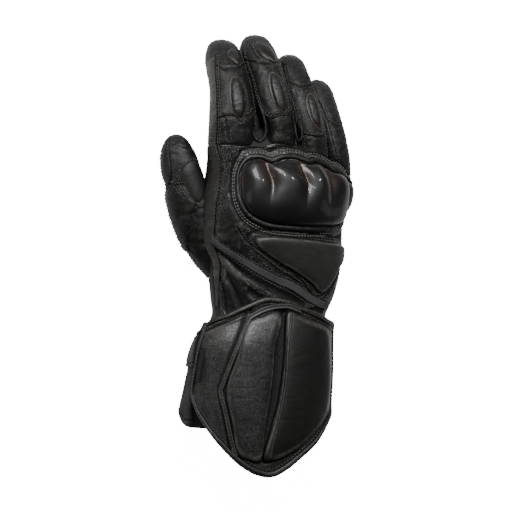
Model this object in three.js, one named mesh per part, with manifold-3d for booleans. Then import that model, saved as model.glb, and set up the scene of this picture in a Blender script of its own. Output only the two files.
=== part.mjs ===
// A right-hand leather motorcycle glove with a long gauntlet cuff, lying palm down as it keeps its shape by
// itself. Millimetres. +Z is up, +Y runs from the cuff to the fingertips, +X is the little finger's side.
// The leather is a hollow shell cut into the panels that are sewn together, and the pads, the knuckle guard,
// the trims and the strap are thin solids that follow the surface they are sewn to.
//
// Places on the glove are given as "along" (mm, the Y of the tables) and "around" (degrees in the cross
// section: 0 on the little finger's side, 90 on the crest of the back, 180 on the thumb's side, 270 on the palm).

import * as THREE from 'three';
import { mergeVertices } from 'three/addons/utils/BufferGeometryUtils.js';
import Module from 'manifold-3d';

const wasm = await Module();
wasm.setup();

// Driving sizes
const LEATHER = 2.0;         // shell leather with its lining
const CUFF_LEATHER = 2.6;    // padded cuff panels
const GAP = 0.3;             // between one solid and the next
const SEAM_LEAN = 20;        // degrees the thumb-side seam plane leans towards the thumb
const CENTRE = { x: 7.4, y: -1.45 }; // moves the tables' own zero onto the middle of the finished glove

// Hand and wrist: one row for each cross section
const HAND = table(['along', 'centre', 'half', 'side', 'top', 'low', 'fall'], [
  [96, 3.0, 52.0, 35.0, 46.0, 24.0, 9.0],
  [87, 3.6, 55.6, 35.0, 49.5, 21.0, 9.0],
  [70, 5.7, 57.0, 33.0, 53.5, 13.0, 8.0],
  [55, 5.0, 57.0, 31.0, 56.0, 8.5, 7.0],
  [40, 2.6, 57.6, 29.0, 57.0, 5.5, 6.0],
  [25, 2.9, 58.4, 27.5, 56.0, 3.0, 5.0],
  [10, 3.3, 58.0, 25.5, 54.0, 0.5, 4.0],
  [-5, 6.5, 54.2, 24.5, 51.0, -1.0, 3.0],
  [-20, 6.4, 52.2, 23.5, 48.0, -1.0, 2.0],
  [-35, 4.4, 48.7, 23.0, 46.0, 1.5, 1.0],
  [-46, 1.7, 45.6, 23.0, 45.0, 4.2, 0.5],
  [-62, -4.0, 51.4, 24.5, 50.5, 3.1, 0.0],
]);
const HAND_SQUARENESS = 2.4;
const HAND_SPAN = { from: -62, to: 96 };

// Gauntlet cuff
const CUFF = table(['along', 'centre', 'half', 'side', 'top', 'low', 'fall'], [
  [-25, 0.0, 48.0, 24.0, 50.5, 1.5, 0],
  [-38, -0.2, 51.0, 24.0, 52.5, 0.8, 0],
  [-50, -1.4, 53.0, 25.0, 54.5, 0.3, 0],
  [-66, -5.0, 55.5, 26.0, 57.5, -1.0, 0],
  [-90, -6.8, 56.5, 27.0, 60.0, -1.0, 0],
  [-110, -7.8, 56.3, 27.5, 61.5, -1.0, 0],
  [-130, -8.4, 56.0, 28.0, 62.0, -1.0, 0],
  [-150, -9.0, 55.7, 28.0, 62.0, -1.0, 0],
  [-172, -9.4, 55.4, 28.0, 61.0, -1.0, 0],
]);
const CUFF_PALM_SQUARENESS = 3.2;

// Fingers: centre line, half width and half height from the root inside the hand to the very tip. "roll" turns
// the section, and the tip is a dome from the share "dome" of the length on.
const ROWS_OF_DIGIT = ['x', 'y', 'z', 'wide', 'high'];
const DIGITS = {
  index_finger: { roll: -4, dome: 0.84, line: table(ROWS_OF_DIGIT, [
    [-34.5, 62, 33.0, 15.5, 14.0],
    [-33.4, 84, 35.0, 17.0, 14.0],
    [-32.5, 106, 36.5, 17.3, 14.0],
    [-32.4, 128, 31.5, 15.4, 13.2],
    [-32.8, 146, 20.5, 14.2, 12.8],
    [-32.4, 164, 3.4, 13.0, 12.0],
  ]) },
  middle_finger: { roll: 4, dome: 0.85, line: table(ROWS_OF_DIGIT, [
    [4.1, 62, 35.0, 14.2, 14.0],
    [2.9, 84, 37.0, 14.2, 14.0],
    [0.5, 108, 38.0, 14.1, 13.8],
    [-2.5, 131, 32.5, 14.0, 13.0],
    [-4.6, 150, 21.5, 13.6, 12.4],
    [-5.2, 168, 3.2, 12.6, 11.8],
  ]) },
  ring_finger: { roll: 13, dome: 0.84, line: table(ROWS_OF_DIGIT, [
    [33.6, 56, 31.0, 12.4, 13.4],
    [32.0, 78, 33.0, 12.4, 13.4],
    [29.4, 98, 33.5, 12.4, 13.0],
    [26.3, 118, 28.5, 12.2, 12.5],
    [24.2, 136, 18.8, 12.0, 12.0],
    [22.7, 154.5, 4.0, 11.6, 11.4],
  ]) },
  little_finger: { roll: 24, dome: 0.86, line: table(ROWS_OF_DIGIT, [
    [49.0, 26, 25.0, 9.0, 11.0],
    [55.2, 50, 25.5, 10.6, 12.0],
    [56.0, 70, 25.5, 11.0, 12.0],
    [53.6, 86, 25.5, 10.9, 11.8],
    [50.5, 104, 21.5, 10.9, 11.3],
    [48.2, 120, 14.6, 10.8, 10.9],
    [46.5, 136.5, 5.0, 10.6, 10.5],
  ]) },
  thumb: { roll: -25, dome: 0.76, line: table(ROWS_OF_DIGIT, [
    [-32.5, -6, 20.0, 18.0, 12.5],
    [-48.3, 14, 18.5, 18.0, 13.8],
    [-58.0, 34, 17.5, 17.0, 14.2],
    [-64.1, 54, 16.2, 15.6, 14.2],
    [-68.2, 72, 15.0, 14.6, 13.6],
    [-71.3, 93, 11.2, 12.6, 11.8],
  ]) },
};
const DIGIT_SQUARENESS = 2.5;
const TIP_BLUNTNESS = 2.3;
const TIP_CROWDING = 1.6;    // rings lie closer together towards a fingertip

// Where the panels of the hand meet: planes through the shell
const WEB_LINE = { from: [-45, 87], to: [62, 72] };               // x, y of the line where the fingers begin
const SIDE_SEAM = { height: 26.5, perX: -0.084, perY: 0.066 };    // palm below, back above
const THUMB_SEAM = { across: -29, end: -40 };                     // the side panel lies beyond both

// Edges of the cuff's back panel
const CUFF_TOP_EDGE = table(['around', 'along'], [
  [162, -51], [134, -42.5], [114, -35.5], [98, -30.5], [86, -32], [68, -39], [36, -48], [8, -54],
]);
const CUFF_LIP = table(['around', 'along'], [
  [174, -106], [165, -118], [147, -133], [129, -147], [113, -159], [99, -166.5], [90, -168.3],
  [82, -164], [69, -155], [50, -143], [32, -130], [8, -118],
]);
const CUFF_THUMB_EDGE = table(['along', 'around'], [
  [-51, 162], [-68, 165], [-84, 169], [-106, 174],
]);
const CUFF_LITTLE_EDGE = 8;
const CUFF_SEAM = 0.8;       // degrees between the back panel and the palm panel
const CUFF_PALM_SPAN = { from: -50, to: -126 };
const FLAP_OUT = table(['along', 'out'], [[-50, 0], [-84, 0], [-105, 3.5], [-126, 7]]);
const FLAP_AROUND = { from: 172, reach: 70 };

// Sewn-on pieces of the hand and the cuff, as closed outlines of [around, along]
const GUARD_OUTLINE = [
  [125, 53], [125, 63], [117, 71.5], [107, 72.5], [98, 69.8], [90, 73], [84, 72.6], [75.5, 69.4], [69.5, 70.4],
  [61, 68], [51, 64], [39, 63], [25, 59], [13, 51],
  [10, 41], [17, 32], [30, 26], [47, 23.8], [66, 23.4], [85, 23.8], [102, 27], [114, 34], [121, 44],
];
const GUARD = { height: 8.5, rim: 1.4, lobes: 4, from: 12, to: 125, dip: 0.28 };
const GUARD_BORDER = { from: 0.6, to: 4.8, thick: 1.6 };           // mm outside the guard's outline
const BACK_PAD_OUTLINE = [
  [109.5, 12.5], [102, 14.6], [82, 13.2], [58, 10.6], [30, 8.4], [15, 5.5], [18, -3], [30, -9], [44, -22],
  [53, -28], [59, -27.5], [67, -22.5], [83, -13.5], [96, -3.5], [107, 6.5],
];
const BACK_PAD_HEIGHT = 3.0;
const STRIPE_UPPER = table(['around', 'along'], [
  [153, 15], [130, 1.3], [110, -8.8], [91, -18], [72, -28], [55, -33.5], [34, -36.8],
]);
const STRIPE = { width: 4.6, thick: 1.0, startWidth: 0.4, widensOver: 0.15 };
const CUFF_PAD_INNER = [
  [112, -49.5], [100, -45], [90, -42.5], [89.8, -71], [91, -100], [94.5, -129], [97.8, -156],
  [106, -155], [115, -150], [121, -127], [126.5, -102], [117.5, -75],
];
const CUFF_PAD_OUTER = [
  [84.5, -42.5], [70, -47], [50, -52], [34, -56], [26, -62], [23, -90], [25, -114], [32, -123], [60, -138],
  [79, -151], [94, -156], [91, -130], [87.4, -103], [85, -72],
];
const CUFF_PAD_HEIGHT = 3.4;
const CUFF_BINDING = { from: -4.9, to: -1.5, thick: 1.6 };         // mm, so within the panel's edge
const CUFF_STRAP = { along: -71, half: 14, from: 171, to: 228, thick: 2.2, rounded: 12 };
const LABEL = { from: [155.5, -69.5], to: [162, -96], width: 6.4, thick: 1.0 };

// Sewn-on pieces of the fingers: here along counts in hundredths of the finger's length
const DIGIT_PADS = {
  index_joint_pad: { on: 'index_finger', height: 2.4, edge: oval(91, 34, 48.5, 10) },
  index_tip_pad: { on: 'index_finger', height: 1.8, edge: oval(84, 24, 77.5, 6) },
  middle_joint_pad: { on: 'middle_finger', height: 2.4, edge: oval(90, 28, 51, 9) },
  middle_tip_pad: { on: 'middle_finger', height: 1.8, edge: oval(90, 26, 77.5, 6) },
  ring_joint_pad: { on: 'ring_finger', height: 2.2, edge: oval(84, 28, 49, 10) },
  thumb_patch: { on: 'thumb', height: 1.4, edge: [
    [86, 73], [60, 77.5], [32, 78], [8, 74.5], [-3, 68], [12, 60], [40, 52.5], [60, 49.5], [76, 51], [86, 61],
  ] },
};
const PAD_RIM = 0.8;

// How finely the surfaces are cut into flat faces
const HAND_MESH = { rings: 12, sides: 24 };
const DIGIT_MESH = { rings: 10, sides: 13 };
const LINING_MESH = { rings: 8, sides: 10 };
const CUFF_BACK_MESH = { rows: 10, columns: 17 };
const CUFF_PALM_MESH = { rows: 7, columns: 19 };
const BORDER_COLUMNS = 34;
const DEGREE_ON_BODY = 1.0;   // mm to a degree round the hand or the cuff
const DEGREE_ON_DIGIT = 0.23; // hundredths of a finger's length to a degree round it
const SUNK = 0.9;             // how far a sewn-on piece starts below its seat before the seat is cut

/** Oval outline [around, along] from its middle and half sizes. */
function oval(around, spread, along, reach, points = 8) {
  return Array.from({ length: points }, (_, i) => {
    const turn = (2 * Math.PI * i) / points;
    return [around + spread * Math.cos(turn), along + reach * Math.sin(turn)];
  });
}

/** Rows of numbers as objects with named columns. */
function table(columns, rows) {
  return rows.map((row) => Object.fromEntries(columns.map((name, i) => [name, row[i]])));
}

/** Value of one column at a place in the key column, on a smooth curve through the rows. */
function smooth(rows, key, column, place) {
  const sorted = rows[0][key] < rows.at(-1)[key] ? rows : [...rows].reverse();
  const x = sorted.map((row) => row[key]);
  const y = sorted.map((row) => row[column]);
  const last = x.length - 1;
  const here = THREE.MathUtils.clamp(place, x[0], x[last]);
  let i = 0;
  while (i < last - 1 && here >= x[i + 1]) i += 1;
  const chord = (k) => (y[k + 1] - y[k]) / (x[k + 1] - x[k]);
  const slope = (k) => {
    if (k === 0) return chord(0);
    if (k === last) return chord(last - 1);
    const [before, after] = [x[k] - x[k - 1], x[k + 1] - x[k]];
    return (chord(k) * before + chord(k - 1) * after) / (before + after);
  };
  const width = x[i + 1] - x[i];
  const t = (here - x[i]) / width;
  return (2 * t ** 3 - 3 * t ** 2 + 1) * y[i] + (t ** 3 - 2 * t ** 2 + t) * width * slope(i)
    + (3 * t ** 2 - 2 * t ** 3) * y[i + 1] + (t ** 3 - t ** 2) * width * slope(i + 1);
}

const radians = THREE.MathUtils.degToRad;
const signedPower = (value, exponent) => Math.sign(value) * Math.abs(value) ** exponent;

/** Point of a rounded cross section of the hand or cuff, drawn in by "inset". Nothing goes below the surface
 * that the glove lies on, so its underside is flat where it rests. */
function bodyPoint(rows, along, around, inset = 0, palmSquareness = HAND_SQUARENESS) {
  const value = (column) => smooth(rows, 'along', column, along);
  const angle = radians(around);
  const squareness = Math.sin(angle) < 0 ? palmSquareness : HAND_SQUARENESS;
  const across = signedPower(Math.cos(angle), 2 / squareness);
  const up = signedPower(Math.sin(angle), 2 / squareness);
  const side = value('side');
  const reach = up > 0 ? value('top') - inset - side : side - value('low') - inset;
  const fall = value('fall') * across ** 2 * (across > 0 ? 1 : 0.35);
  return new THREE.Vector3(
    value('centre') + (value('half') - inset) * across,
    along,
    Math.max(side + reach * up - fall, inset),
  );
}

const onHand = (along, around) => bodyPoint(HAND, along, around);
const onCuff = (along, around) => bodyPoint(CUFF, along, around, 0, CUFF_PALM_SQUARENESS);

for (const { line } of Object.values(DIGITS)) {
  let length = 0;
  line.forEach((row, i) => {
    const before = line[Math.max(i - 1, 0)];
    length += Math.hypot(row.x - before.x, row.y - before.y, row.z - before.z);
    row.share = length;
  });
  for (const row of line) row.share /= length;
}

/** Point of a finger at a share of its length, drawn in by "inset", with the tip closed by a blunt dome. */
function digitPoint(digit, share, around, inset = 0) {
  const { line, roll, dome } = DIGITS[digit];
  const value = (column, place) => smooth(line, 'share', column, place);
  const middle = (place) => new THREE.Vector3(value('x', place), value('y', place), value('z', place));
  const step = 1e-3;
  const forward = middle(Math.min(share + step, 1)).sub(middle(Math.max(share - step, 0))).normalize();
  const flat = forward.clone().cross(new THREE.Vector3(0, 0, 1)).normalize();
  const side = flat.applyAxisAngle(forward, radians(roll));
  const up = side.clone().cross(forward);
  const past = Math.max((share - dome) / (1 - dome), 0);
  const closing = Math.max(1 - past ** TIP_BLUNTNESS, 0) ** (1 / TIP_BLUNTNESS);
  const angle = radians(around);
  const wide = (value('wide', share) - inset) * closing * signedPower(Math.cos(angle), 2 / DIGIT_SQUARENESS);
  const high = (value('high', share) - inset) * closing * signedPower(Math.sin(angle), 2 / DIGIT_SQUARENESS);
  const point = middle(share).addScaledVector(side, wide).addScaledVector(up, high);
  point.z = Math.max(point.z, inset);
  return point;
}

const onDigit = (digit) => (along, around) => digitPoint(digit, along / 100, around);

/** Point of a surface moved outwards by "lift", square to the surface. */
function lifted(surface, along, around, lift) {
  const step = 0.5;
  const onward = surface(along + step, around).sub(surface(along - step, around));
  const sideways = surface(along, around + step).sub(surface(along, around - step));
  return surface(along, around).addScaledVector(onward.cross(sideways).normalize(), lift);
}

/** Closed mesh from points and triangles, with its faces turned out. */
function closedMesh(points, triangles) {
  const volume = triangles.reduce((sum, [a, b, c]) => (
    sum + points[a].dot(new THREE.Vector3().crossVectors(points[b], points[c]))), 0);
  const geometry = new THREE.BufferGeometry();
  geometry.setAttribute('position', new THREE.Float32BufferAttribute(points.flatMap((p) => p.toArray()), 3));
  geometry.setIndex(triangles.flatMap(([a, b, c]) => (volume < 0 ? [a, c, b] : [a, b, c])));
  return geometry;
}

/** Two triangles for each cell of a grid of points whose numbers begin at "first". */
function gridTriangles(rows, columns, first, { flip = false, loop = false } = {}) {
  const triangles = [];
  for (let i = 0; i < rows - 1; i += 1) {
    for (let j = 0; j < (loop ? columns : columns - 1); j += 1) {
      const next = (j + 1) % columns;
      const corners = [i * columns + j, i * columns + next, (i + 1) * columns + next, (i + 1) * columns + j];
      const [a, b, c, d] = corners.map((corner) => corner + first);
      triangles.push(...(flip ? [[a, c, b], [a, d, c]] : [[a, b, c], [a, c, d]]));
    }
  }
  return triangles;
}

/** Closed tube: rings of points along a body, with a fan at each end. */
function tube({ rings, sides }, pointAt) {
  const points = [];
  for (let i = 0; i < rings; i += 1) {
    for (let j = 0; j < sides; j += 1) points.push(pointAt(i / (rings - 1), (360 * j) / sides));
  }
  const triangles = gridTriangles(rings, sides, 0, { loop: true });
  for (const [ring, flip] of [[0, true], [rings - 1, false]]) {
    const start = ring * sides;
    const middle = new THREE.Vector3();
    for (const point of points.slice(start, start + sides)) middle.addScaledVector(point, 1 / sides);
    const hub = points.push(middle) - 1;
    for (let j = 0; j < sides; j += 1) {
      const [a, b] = [start + j, start + ((j + 1) % sides)];
      triangles.push(flip ? [a, hub, b] : [a, b, hub]);
    }
  }
  return closedMesh(points, triangles);
}

/** Closed thin solid between an upper and a lower sheet over the same grid. With "loop" the columns close on
 * themselves, which makes a ring. */
function sheetSolid({ rows, columns, loop = false }, upper, lower) {
  const points = [];
  for (const sheet of [upper, lower]) {
    for (let i = 0; i < rows; i += 1) {
      for (let j = 0; j < columns; j += 1) {
        points.push(sheet(i / (rows - 1), loop ? j / columns : j / (columns - 1)));
      }
    }
  }
  const half = rows * columns;
  const triangles = [
    ...gridTriangles(rows, columns, 0, { loop }),
    ...gridTriangles(rows, columns, half, { flip: true, loop }),
  ];
  const wall = (a, b) => triangles.push([a, half + a, half + b], [a, half + b, b]);
  const lastRow = (rows - 1) * columns;
  for (let j = 0; j < (loop ? columns : columns - 1); j += 1) {
    const next = (j + 1) % columns;
    wall(j, next);
    wall(lastRow + next, lastRow + j);
  }
  for (let i = 0; i < rows - 1 && !loop; i += 1) {
    wall((i + 1) * columns, i * columns);
    wall(i * columns + columns - 1, (i + 1) * columns + columns - 1);
  }
  return closedMesh(points, triangles);
}

/** A closed mesh as a solid that can be cut. */
function solid(geometry) {
  const bare = geometry.clone();
  bare.deleteAttribute('normal');
  bare.deleteAttribute('uv');
  const merged = mergeVertices(bare, 1e-4);
  return new wasm.Manifold(new wasm.Mesh({
    numProp: 3,
    vertProperties: new Float32Array(merged.attributes.position.array),
    triVerts: new Uint32Array(merged.index.array),
  }));
}

/** Everything on the far side of a plane: normal . point > distance. */
function beyond(normal, distance) {
  const reach = 900;
  const direction = new THREE.Vector3(...normal).normalize();
  const box = new THREE.BoxGeometry(reach, reach, reach);
  box.applyQuaternion(new THREE.Quaternion().setFromUnitVectors(new THREE.Vector3(0, 0, 1), direction));
  const middle = direction.multiplyScalar(distance / Math.hypot(...normal) + reach / 2);
  box.translate(middle.x, middle.y, middle.z);
  return solid(box);
}

const before = (normal, distance) => beyond(normal.map((value) => -value), -distance);

/** Smooth closed line through [around, along] points, as a function of the share of the way round. "out" moves
 * the line outwards, and "degree" is the length of a degree in the units of along. */
function outline(points, degree, out = 0) {
  const curve = new THREE.CatmullRomCurve3(
    points.map(([around, along]) => new THREE.Vector3(around * degree, along, 0)),
    true,
    'centripetal',
  );
  const clockwise = THREE.ShapeUtils.isClockWise(curve.getPoints(80));
  const outwards = clockwise ? -out : out;
  return (share) => {
    const point = curve.getPointAt(share % 1);
    const way = curve.getTangentAt(share % 1);
    return { around: (point.x + way.y * outwards) / degree, along: point.y - way.x * outwards };
  };
}

/** Pad inside a closed line: rings from a small one in the middle out to the line, with "crown" as the height
 * of its top over the surface at a share of the way out and a number of degrees around. */
function pad(surface, edge, crown, { rings = 4, columns = 22 } = {}) {
  const samples = Array.from({ length: columns }, (_, j) => edge(j / columns));
  const mean = (name) => samples.reduce((sum, point) => sum + point[name] / columns, 0);
  const middle = { around: mean('around'), along: mean('along') };
  const points = [];
  for (const lift of [crown, () => -SUNK]) {
    for (let i = 1; i <= rings; i += 1) {
      const out = i / rings;
      for (const rim of samples) {
        const around = middle.around + (rim.around - middle.around) * out;
        const along = middle.along + (rim.along - middle.along) * out;
        points.push(lifted(surface, along, around, lift(out, around)));
      }
    }
    points.push(lifted(surface, middle.along, middle.around, lift(0, middle.around)));
  }
  const half = rings * columns + 1;
  const rim = (rings - 1) * columns;
  const triangles = [
    ...gridTriangles(rings, columns, 0, { loop: true }),
    ...gridTriangles(rings, columns, half, { flip: true, loop: true }),
  ];
  for (let j = 0; j < columns; j += 1) {
    const next = (j + 1) % columns;
    triangles.push([next, j, half - 1], [half + j, half + next, 2 * half - 1]);
    triangles.push([rim + next, half + rim + j, rim + j], [rim + next, half + rim + next, half + rim + j]);
  }
  return closedMesh(points, triangles);
}

/** Padded strip that follows a closed line, between two distances outside it. */
function border(surface, points, { from, to, thick }) {
  const lines = [outline(points, DEGREE_ON_BODY, from), outline(points, DEGREE_ON_BODY, to)];
  const place = (across, share, lift) => {
    const [start, end] = lines.map((line) => line(share));
    const along = THREE.MathUtils.lerp(start.along, end.along, across);
    const around = THREE.MathUtils.lerp(start.around, end.around, across);
    return lifted(surface, along, around, lift);
  };
  return sheetSolid(
    { rows: 3, columns: BORDER_COLUMNS, loop: true },
    (across, share) => place(across, share, GAP + thick * (0.55 + 0.45 * Math.sin(Math.PI * across))),
    (across, share) => place(across, share, -SUNK),
  );
}

const padCrown = (height) => (out) => GAP + PAD_RIM + (height - PAD_RIM) * (1 - out ** 6) ** 0.5;

/** The hand as a closed body, and one finger as a closed body. */
function handBody(inset, { from, to } = HAND_SPAN) {
  return solid(tube(HAND_MESH, (share, around) => (
    bodyPoint(HAND, from + (to - from) * share, around, inset))));
}

function digitBody(digit, inset, mesh = DIGIT_MESH) {
  const end = inset > 0 ? 0.985 : 0.998;
  return solid(tube(mesh, (share, around) => (
    digitPoint(digit, end * (1 - (1 - share) ** TIP_CROWDING), around, inset))));
}

/** The leather shell, cut along its seams into the back, the thumb-side panel, the palm and the five fingers. */
function leatherPanels() {
  const [[x0, y0], [x1, y1]] = [WEB_LINE.from, WEB_LINE.to];
  const acrossWeb = new THREE.Vector2(y0 - y1, x1 - x0).normalize();
  const web = [acrossWeb.x, acrossWeb.y, 0];
  const webDistance = acrossWeb.x * x0 + acrossWeb.y * y0;

  const digits = Object.keys(DIGITS);
  const fingers = digits.filter((digit) => digit !== 'thumb');
  const outer = Object.fromEntries(digits.map((digit) => [digit, digitBody(digit, 0)]));
  const inner = Object.fromEntries(digits.map((digit) => [digit, digitBody(digit, LEATHER, LINING_MESH)]));

  let hand = handBody(0).intersect(before(web, webDistance));
  for (const digit of fingers) hand = hand.add(outer[digit].intersect(before(web, webDistance)));
  const hollow = handBody(LEATHER, { from: HAND_SPAN.from - 8, to: HAND_SPAN.to });
  hand = hand.subtract(hollow.intersect(before(web, webDistance - LEATHER)));
  for (const digit of digits) hand = hand.subtract(inner[digit]);

  const seam = [-SIDE_SEAM.perX, -SIDE_SEAM.perY, 1];
  const seamLength = Math.hypot(...seam);
  const aboveSeam = beyond(seam, SIDE_SEAM.height + (GAP / 2) * seamLength);
  const belowSeam = before(seam, SIDE_SEAM.height - (GAP / 2) * seamLength);
  const lean = radians(SEAM_LEAN);
  const acrossBack = [Math.cos(lean), 0, Math.sin(lean)];
  const besideThumb = (clear) => before(acrossBack, THUMB_SEAM.across - clear)
    .intersect(beyond([0, 1, 0], THUMB_SEAM.end + clear));

  const panels = {
    hand_back: hand.intersect(aboveSeam).subtract(besideThumb(-GAP / 2)),
    side_panel: hand.intersect(aboveSeam).intersect(besideThumb(GAP / 2)),
    palm: hand.intersect(belowSeam),
  };
  for (const digit of fingers) {
    panels[digit] = outer[digit].subtract(inner[digit]).intersect(beyond(web, webDistance + GAP));
  }
  panels.thumb = outer.thumb.subtract(inner.thumb).subtract(handBody(-GAP));
  return panels;
}

/** The cuff's back panel, or with other lifts the space that it and its clearance take. */
function cuffBack(upperLift = 0, lowerLift = -CUFF_LEATHER) {
  const place = (down, across, lift) => {
    const { along: edgeFrom } = CUFF_THUMB_EDGE[0];
    const { along: edgeTo } = CUFF_THUMB_EDGE.at(-1);
    const thumbEdge = smooth(CUFF_THUMB_EDGE, 'along', 'around', THREE.MathUtils.lerp(edgeFrom, edgeTo, down));
    const around = THREE.MathUtils.lerp(thumbEdge, CUFF_LITTLE_EDGE, across);
    const top = smooth(CUFF_TOP_EDGE, 'around', 'along', around);
    const lip = smooth(CUFF_LIP, 'around', 'along', around);
    return lifted(onCuff, THREE.MathUtils.lerp(top, lip, down), around, lift);
  };
  return sheetSolid(CUFF_BACK_MESH, (d, a) => place(d, a, upperLift), (d, a) => place(d, a, lowerLift));
}

/** Point of the palm side of the cuff, where the closing flap stands out from the wrist. */
function flapPoint(along, around, lift) {
  const turn = THREE.MathUtils.clamp((around - FLAP_AROUND.from) / FLAP_AROUND.reach, 0, 1);
  const out = smooth(FLAP_OUT, 'along', 'out', along) * Math.sin(Math.PI * turn);
  const point = lifted(onCuff, along, around, lift + out);
  point.z = Math.max(point.z, -lift);
  return point;
}

function cuffPalm(upperLift = 0, lowerLift = -CUFF_LEATHER) {
  const place = (down, across, lift) => {
    const along = THREE.MathUtils.lerp(CUFF_PALM_SPAN.from, CUFF_PALM_SPAN.to, down);
    const start = smooth(CUFF_THUMB_EDGE, 'along', 'around', along) + CUFF_SEAM;
    const end = 360 + CUFF_LITTLE_EDGE - CUFF_SEAM;
    return flapPoint(along, THREE.MathUtils.lerp(start, end, across), lift);
  };
  return sheetSolid(CUFF_PALM_MESH, (d, a) => place(d, a, upperLift), (d, a) => place(d, a, lowerLift));
}

/** The whole edge of the cuff's back panel as one closed line. */
function cuffPerimeter() {
  const pair = (row) => [row.around, row.along];
  return [
    ...CUFF_TOP_EDGE.map(pair),
    [CUFF_LITTLE_EDGE, -76],
    [CUFF_LITTLE_EDGE, -98],
    ...[...CUFF_LIP].reverse().map(pair),
    ...CUFF_THUMB_EDGE.slice(1, -1).reverse().map(pair),
  ];
}

/** The hard knuckle guard on its foam, with a bump over each knuckle. */
function knuckleGuard() {
  const { height, rim, lobes, from, to, dip } = GUARD;
  const crown = (out, around) => {
    const across = THREE.MathUtils.clamp((around - from) / (to - from), 0, 1);
    const bump = Math.abs(Math.sin(Math.PI * lobes * across)) ** 0.6;
    return GAP + rim + (height - rim) * (1 - out ** 2.6) ** 0.6 * (1 - dip + dip * bump);
  };
  return pad(onHand, outline(GUARD_OUTLINE, DEGREE_ON_BODY), crown, { rings: 5, columns: BORDER_COLUMNS });
}

/** The closing strap, round at its end on the palm side. */
function closureStrap() {
  const { along, half, from, to, thick, rounded } = CUFF_STRAP;
  const place = (across, length, lift) => {
    const around = THREE.MathUtils.lerp(from, to, length);
    const past = Math.max(1 - (to - around) / rounded, 0);
    const width = half * Math.max(1 - past ** 2, 0.15) ** 0.5;
    return flapPoint(along + width * (2 * across - 1), around, lift);
  };
  return sheetSolid({ rows: 3, columns: 11 }, (a, l) => place(a, l, GAP + thick), (a, l) => place(a, l, -SUNK));
}

function accentStripe() {
  const { width, thick, startWidth, widensOver } = STRIPE;
  const place = (length, across, lift) => {
    const around = THREE.MathUtils.lerp(STRIPE_UPPER[0].around, STRIPE_UPPER.at(-1).around, length);
    const upper = smooth(STRIPE_UPPER, 'around', 'along', around);
    const narrowed = width * Math.min(startWidth + (1 - startWidth) * (length / widensOver), 1);
    return lifted(onHand, upper - narrowed * across, around, lift);
  };
  return sheetSolid({ rows: 19, columns: 2 }, (l, a) => place(l, a, GAP + thick), (l, a) => place(l, a, -SUNK));
}

function labelTab() {
  const { from, to, width, thick } = LABEL;
  const place = (length, across, lift) => {
    const around = THREE.MathUtils.lerp(from[0], to[0], length) - width * (across - 0.5);
    return lifted(onCuff, THREE.MathUtils.lerp(from[1], to[1], length), around, lift);
  };
  return sheetSolid({ rows: 5, columns: 3 }, (l, a) => place(l, a, GAP + thick), (l, a) => place(l, a, -SUNK));
}

const leather = { color: 0x1b1a18, roughness: 0.46, metalness: 0 };
const smoothLeather = { color: 0x201f1c, roughness: 0.55, metalness: 0 };
const hardShell = { color: 0x0b0b0b, roughness: 0.12, metalness: 0 };
const greyTrim = { color: 0x3f3f3d, roughness: 0.6, metalness: 0 };
const webbing = { color: 0x0e0e0e, roughness: 0.85, metalness: 0 };

const glove = new THREE.Group();
glove.position.set(CENTRE.x, CENTRE.y, 0);

/** Adds one piece, from a closed mesh or a cut solid. */
function addPiece(name, shape, finish) {
  let geometry = shape;
  if (!shape.isBufferGeometry) {
    const mesh = shape.getMesh();
    geometry = new THREE.BufferGeometry();
    geometry.setAttribute('position', new THREE.Float32BufferAttribute(mesh.vertProperties, 3));
    geometry.setIndex(Array.from(mesh.triVerts));
  }
  geometry.computeVertexNormals();
  const mesh = new THREE.Mesh(geometry, new THREE.MeshStandardMaterial(finish));
  mesh.name = name;
  glove.add(mesh);
}

for (const [name, panel] of Object.entries(leatherPanels())) addPiece(name, panel, leather);
addPiece('cuff_back', cuffBack(), leather);
addPiece('cuff_palm', cuffPalm(), leather);

// Sewn-on pieces are cut to sit on the flat faces of what they are sewn to
const handSeat = Object.keys(DIGITS).filter((digit) => digit !== 'thumb')
  .reduce((seat, digit) => seat.add(digitBody(digit, -GAP)), handBody(-GAP));
addPiece('knuckle_guard', solid(knuckleGuard()).subtract(handSeat), hardShell);
addPiece('guard_border', solid(border(onHand, GUARD_OUTLINE, GUARD_BORDER)).subtract(handSeat), leather);
const backPad = pad(onHand, outline(BACK_PAD_OUTLINE, DEGREE_ON_BODY), padCrown(BACK_PAD_HEIGHT));
addPiece('back_pad', solid(backPad).subtract(handSeat), smoothLeather);
addPiece('accent_stripe', solid(accentStripe()).subtract(handSeat), greyTrim);

const cuffSeat = solid(cuffBack(GAP));
addPiece('cuff_binding', solid(border(onCuff, cuffPerimeter(), CUFF_BINDING)).subtract(cuffSeat), leather);
for (const [name, line, finish] of [
  ['cuff_pad_inner', CUFF_PAD_INNER, leather],
  ['cuff_pad_outer', CUFF_PAD_OUTER, smoothLeather],
]) {
  const shape = pad(onCuff, outline(line, DEGREE_ON_BODY), padCrown(CUFF_PAD_HEIGHT));
  addPiece(name, solid(shape).subtract(cuffSeat), finish);
}
addPiece('label_tab', solid(labelTab()).subtract(cuffSeat), webbing);
addPiece('closure_strap', solid(closureStrap()).subtract(solid(cuffPalm(GAP))), leather);

for (const [name, { on, height, edge }] of Object.entries(DIGIT_PADS)) {
  const shape = pad(onDigit(on), outline(edge, DEGREE_ON_DIGIT), padCrown(height), { rings: 3, columns: 13 });
  const seat = on === 'thumb' ? handSeat.add(digitBody(on, -GAP)) : digitBody(on, -GAP);
  addPiece(name, solid(shape).subtract(seat), leather);
}

export default glove;
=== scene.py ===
# A right-hand leather racing glove with a long gauntlet cuff, lying palm down on a pale floor.
# Surfaces are worked out in millimetres on the glove and turned into metres as each mesh is made.
# "around" is in degrees round the cross section: 0 on the little finger's side, 90 on the back, 180 on the
# thumb's side and 270 on the palm. "along" runs from the cuff to the fingertips.

import math

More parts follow.
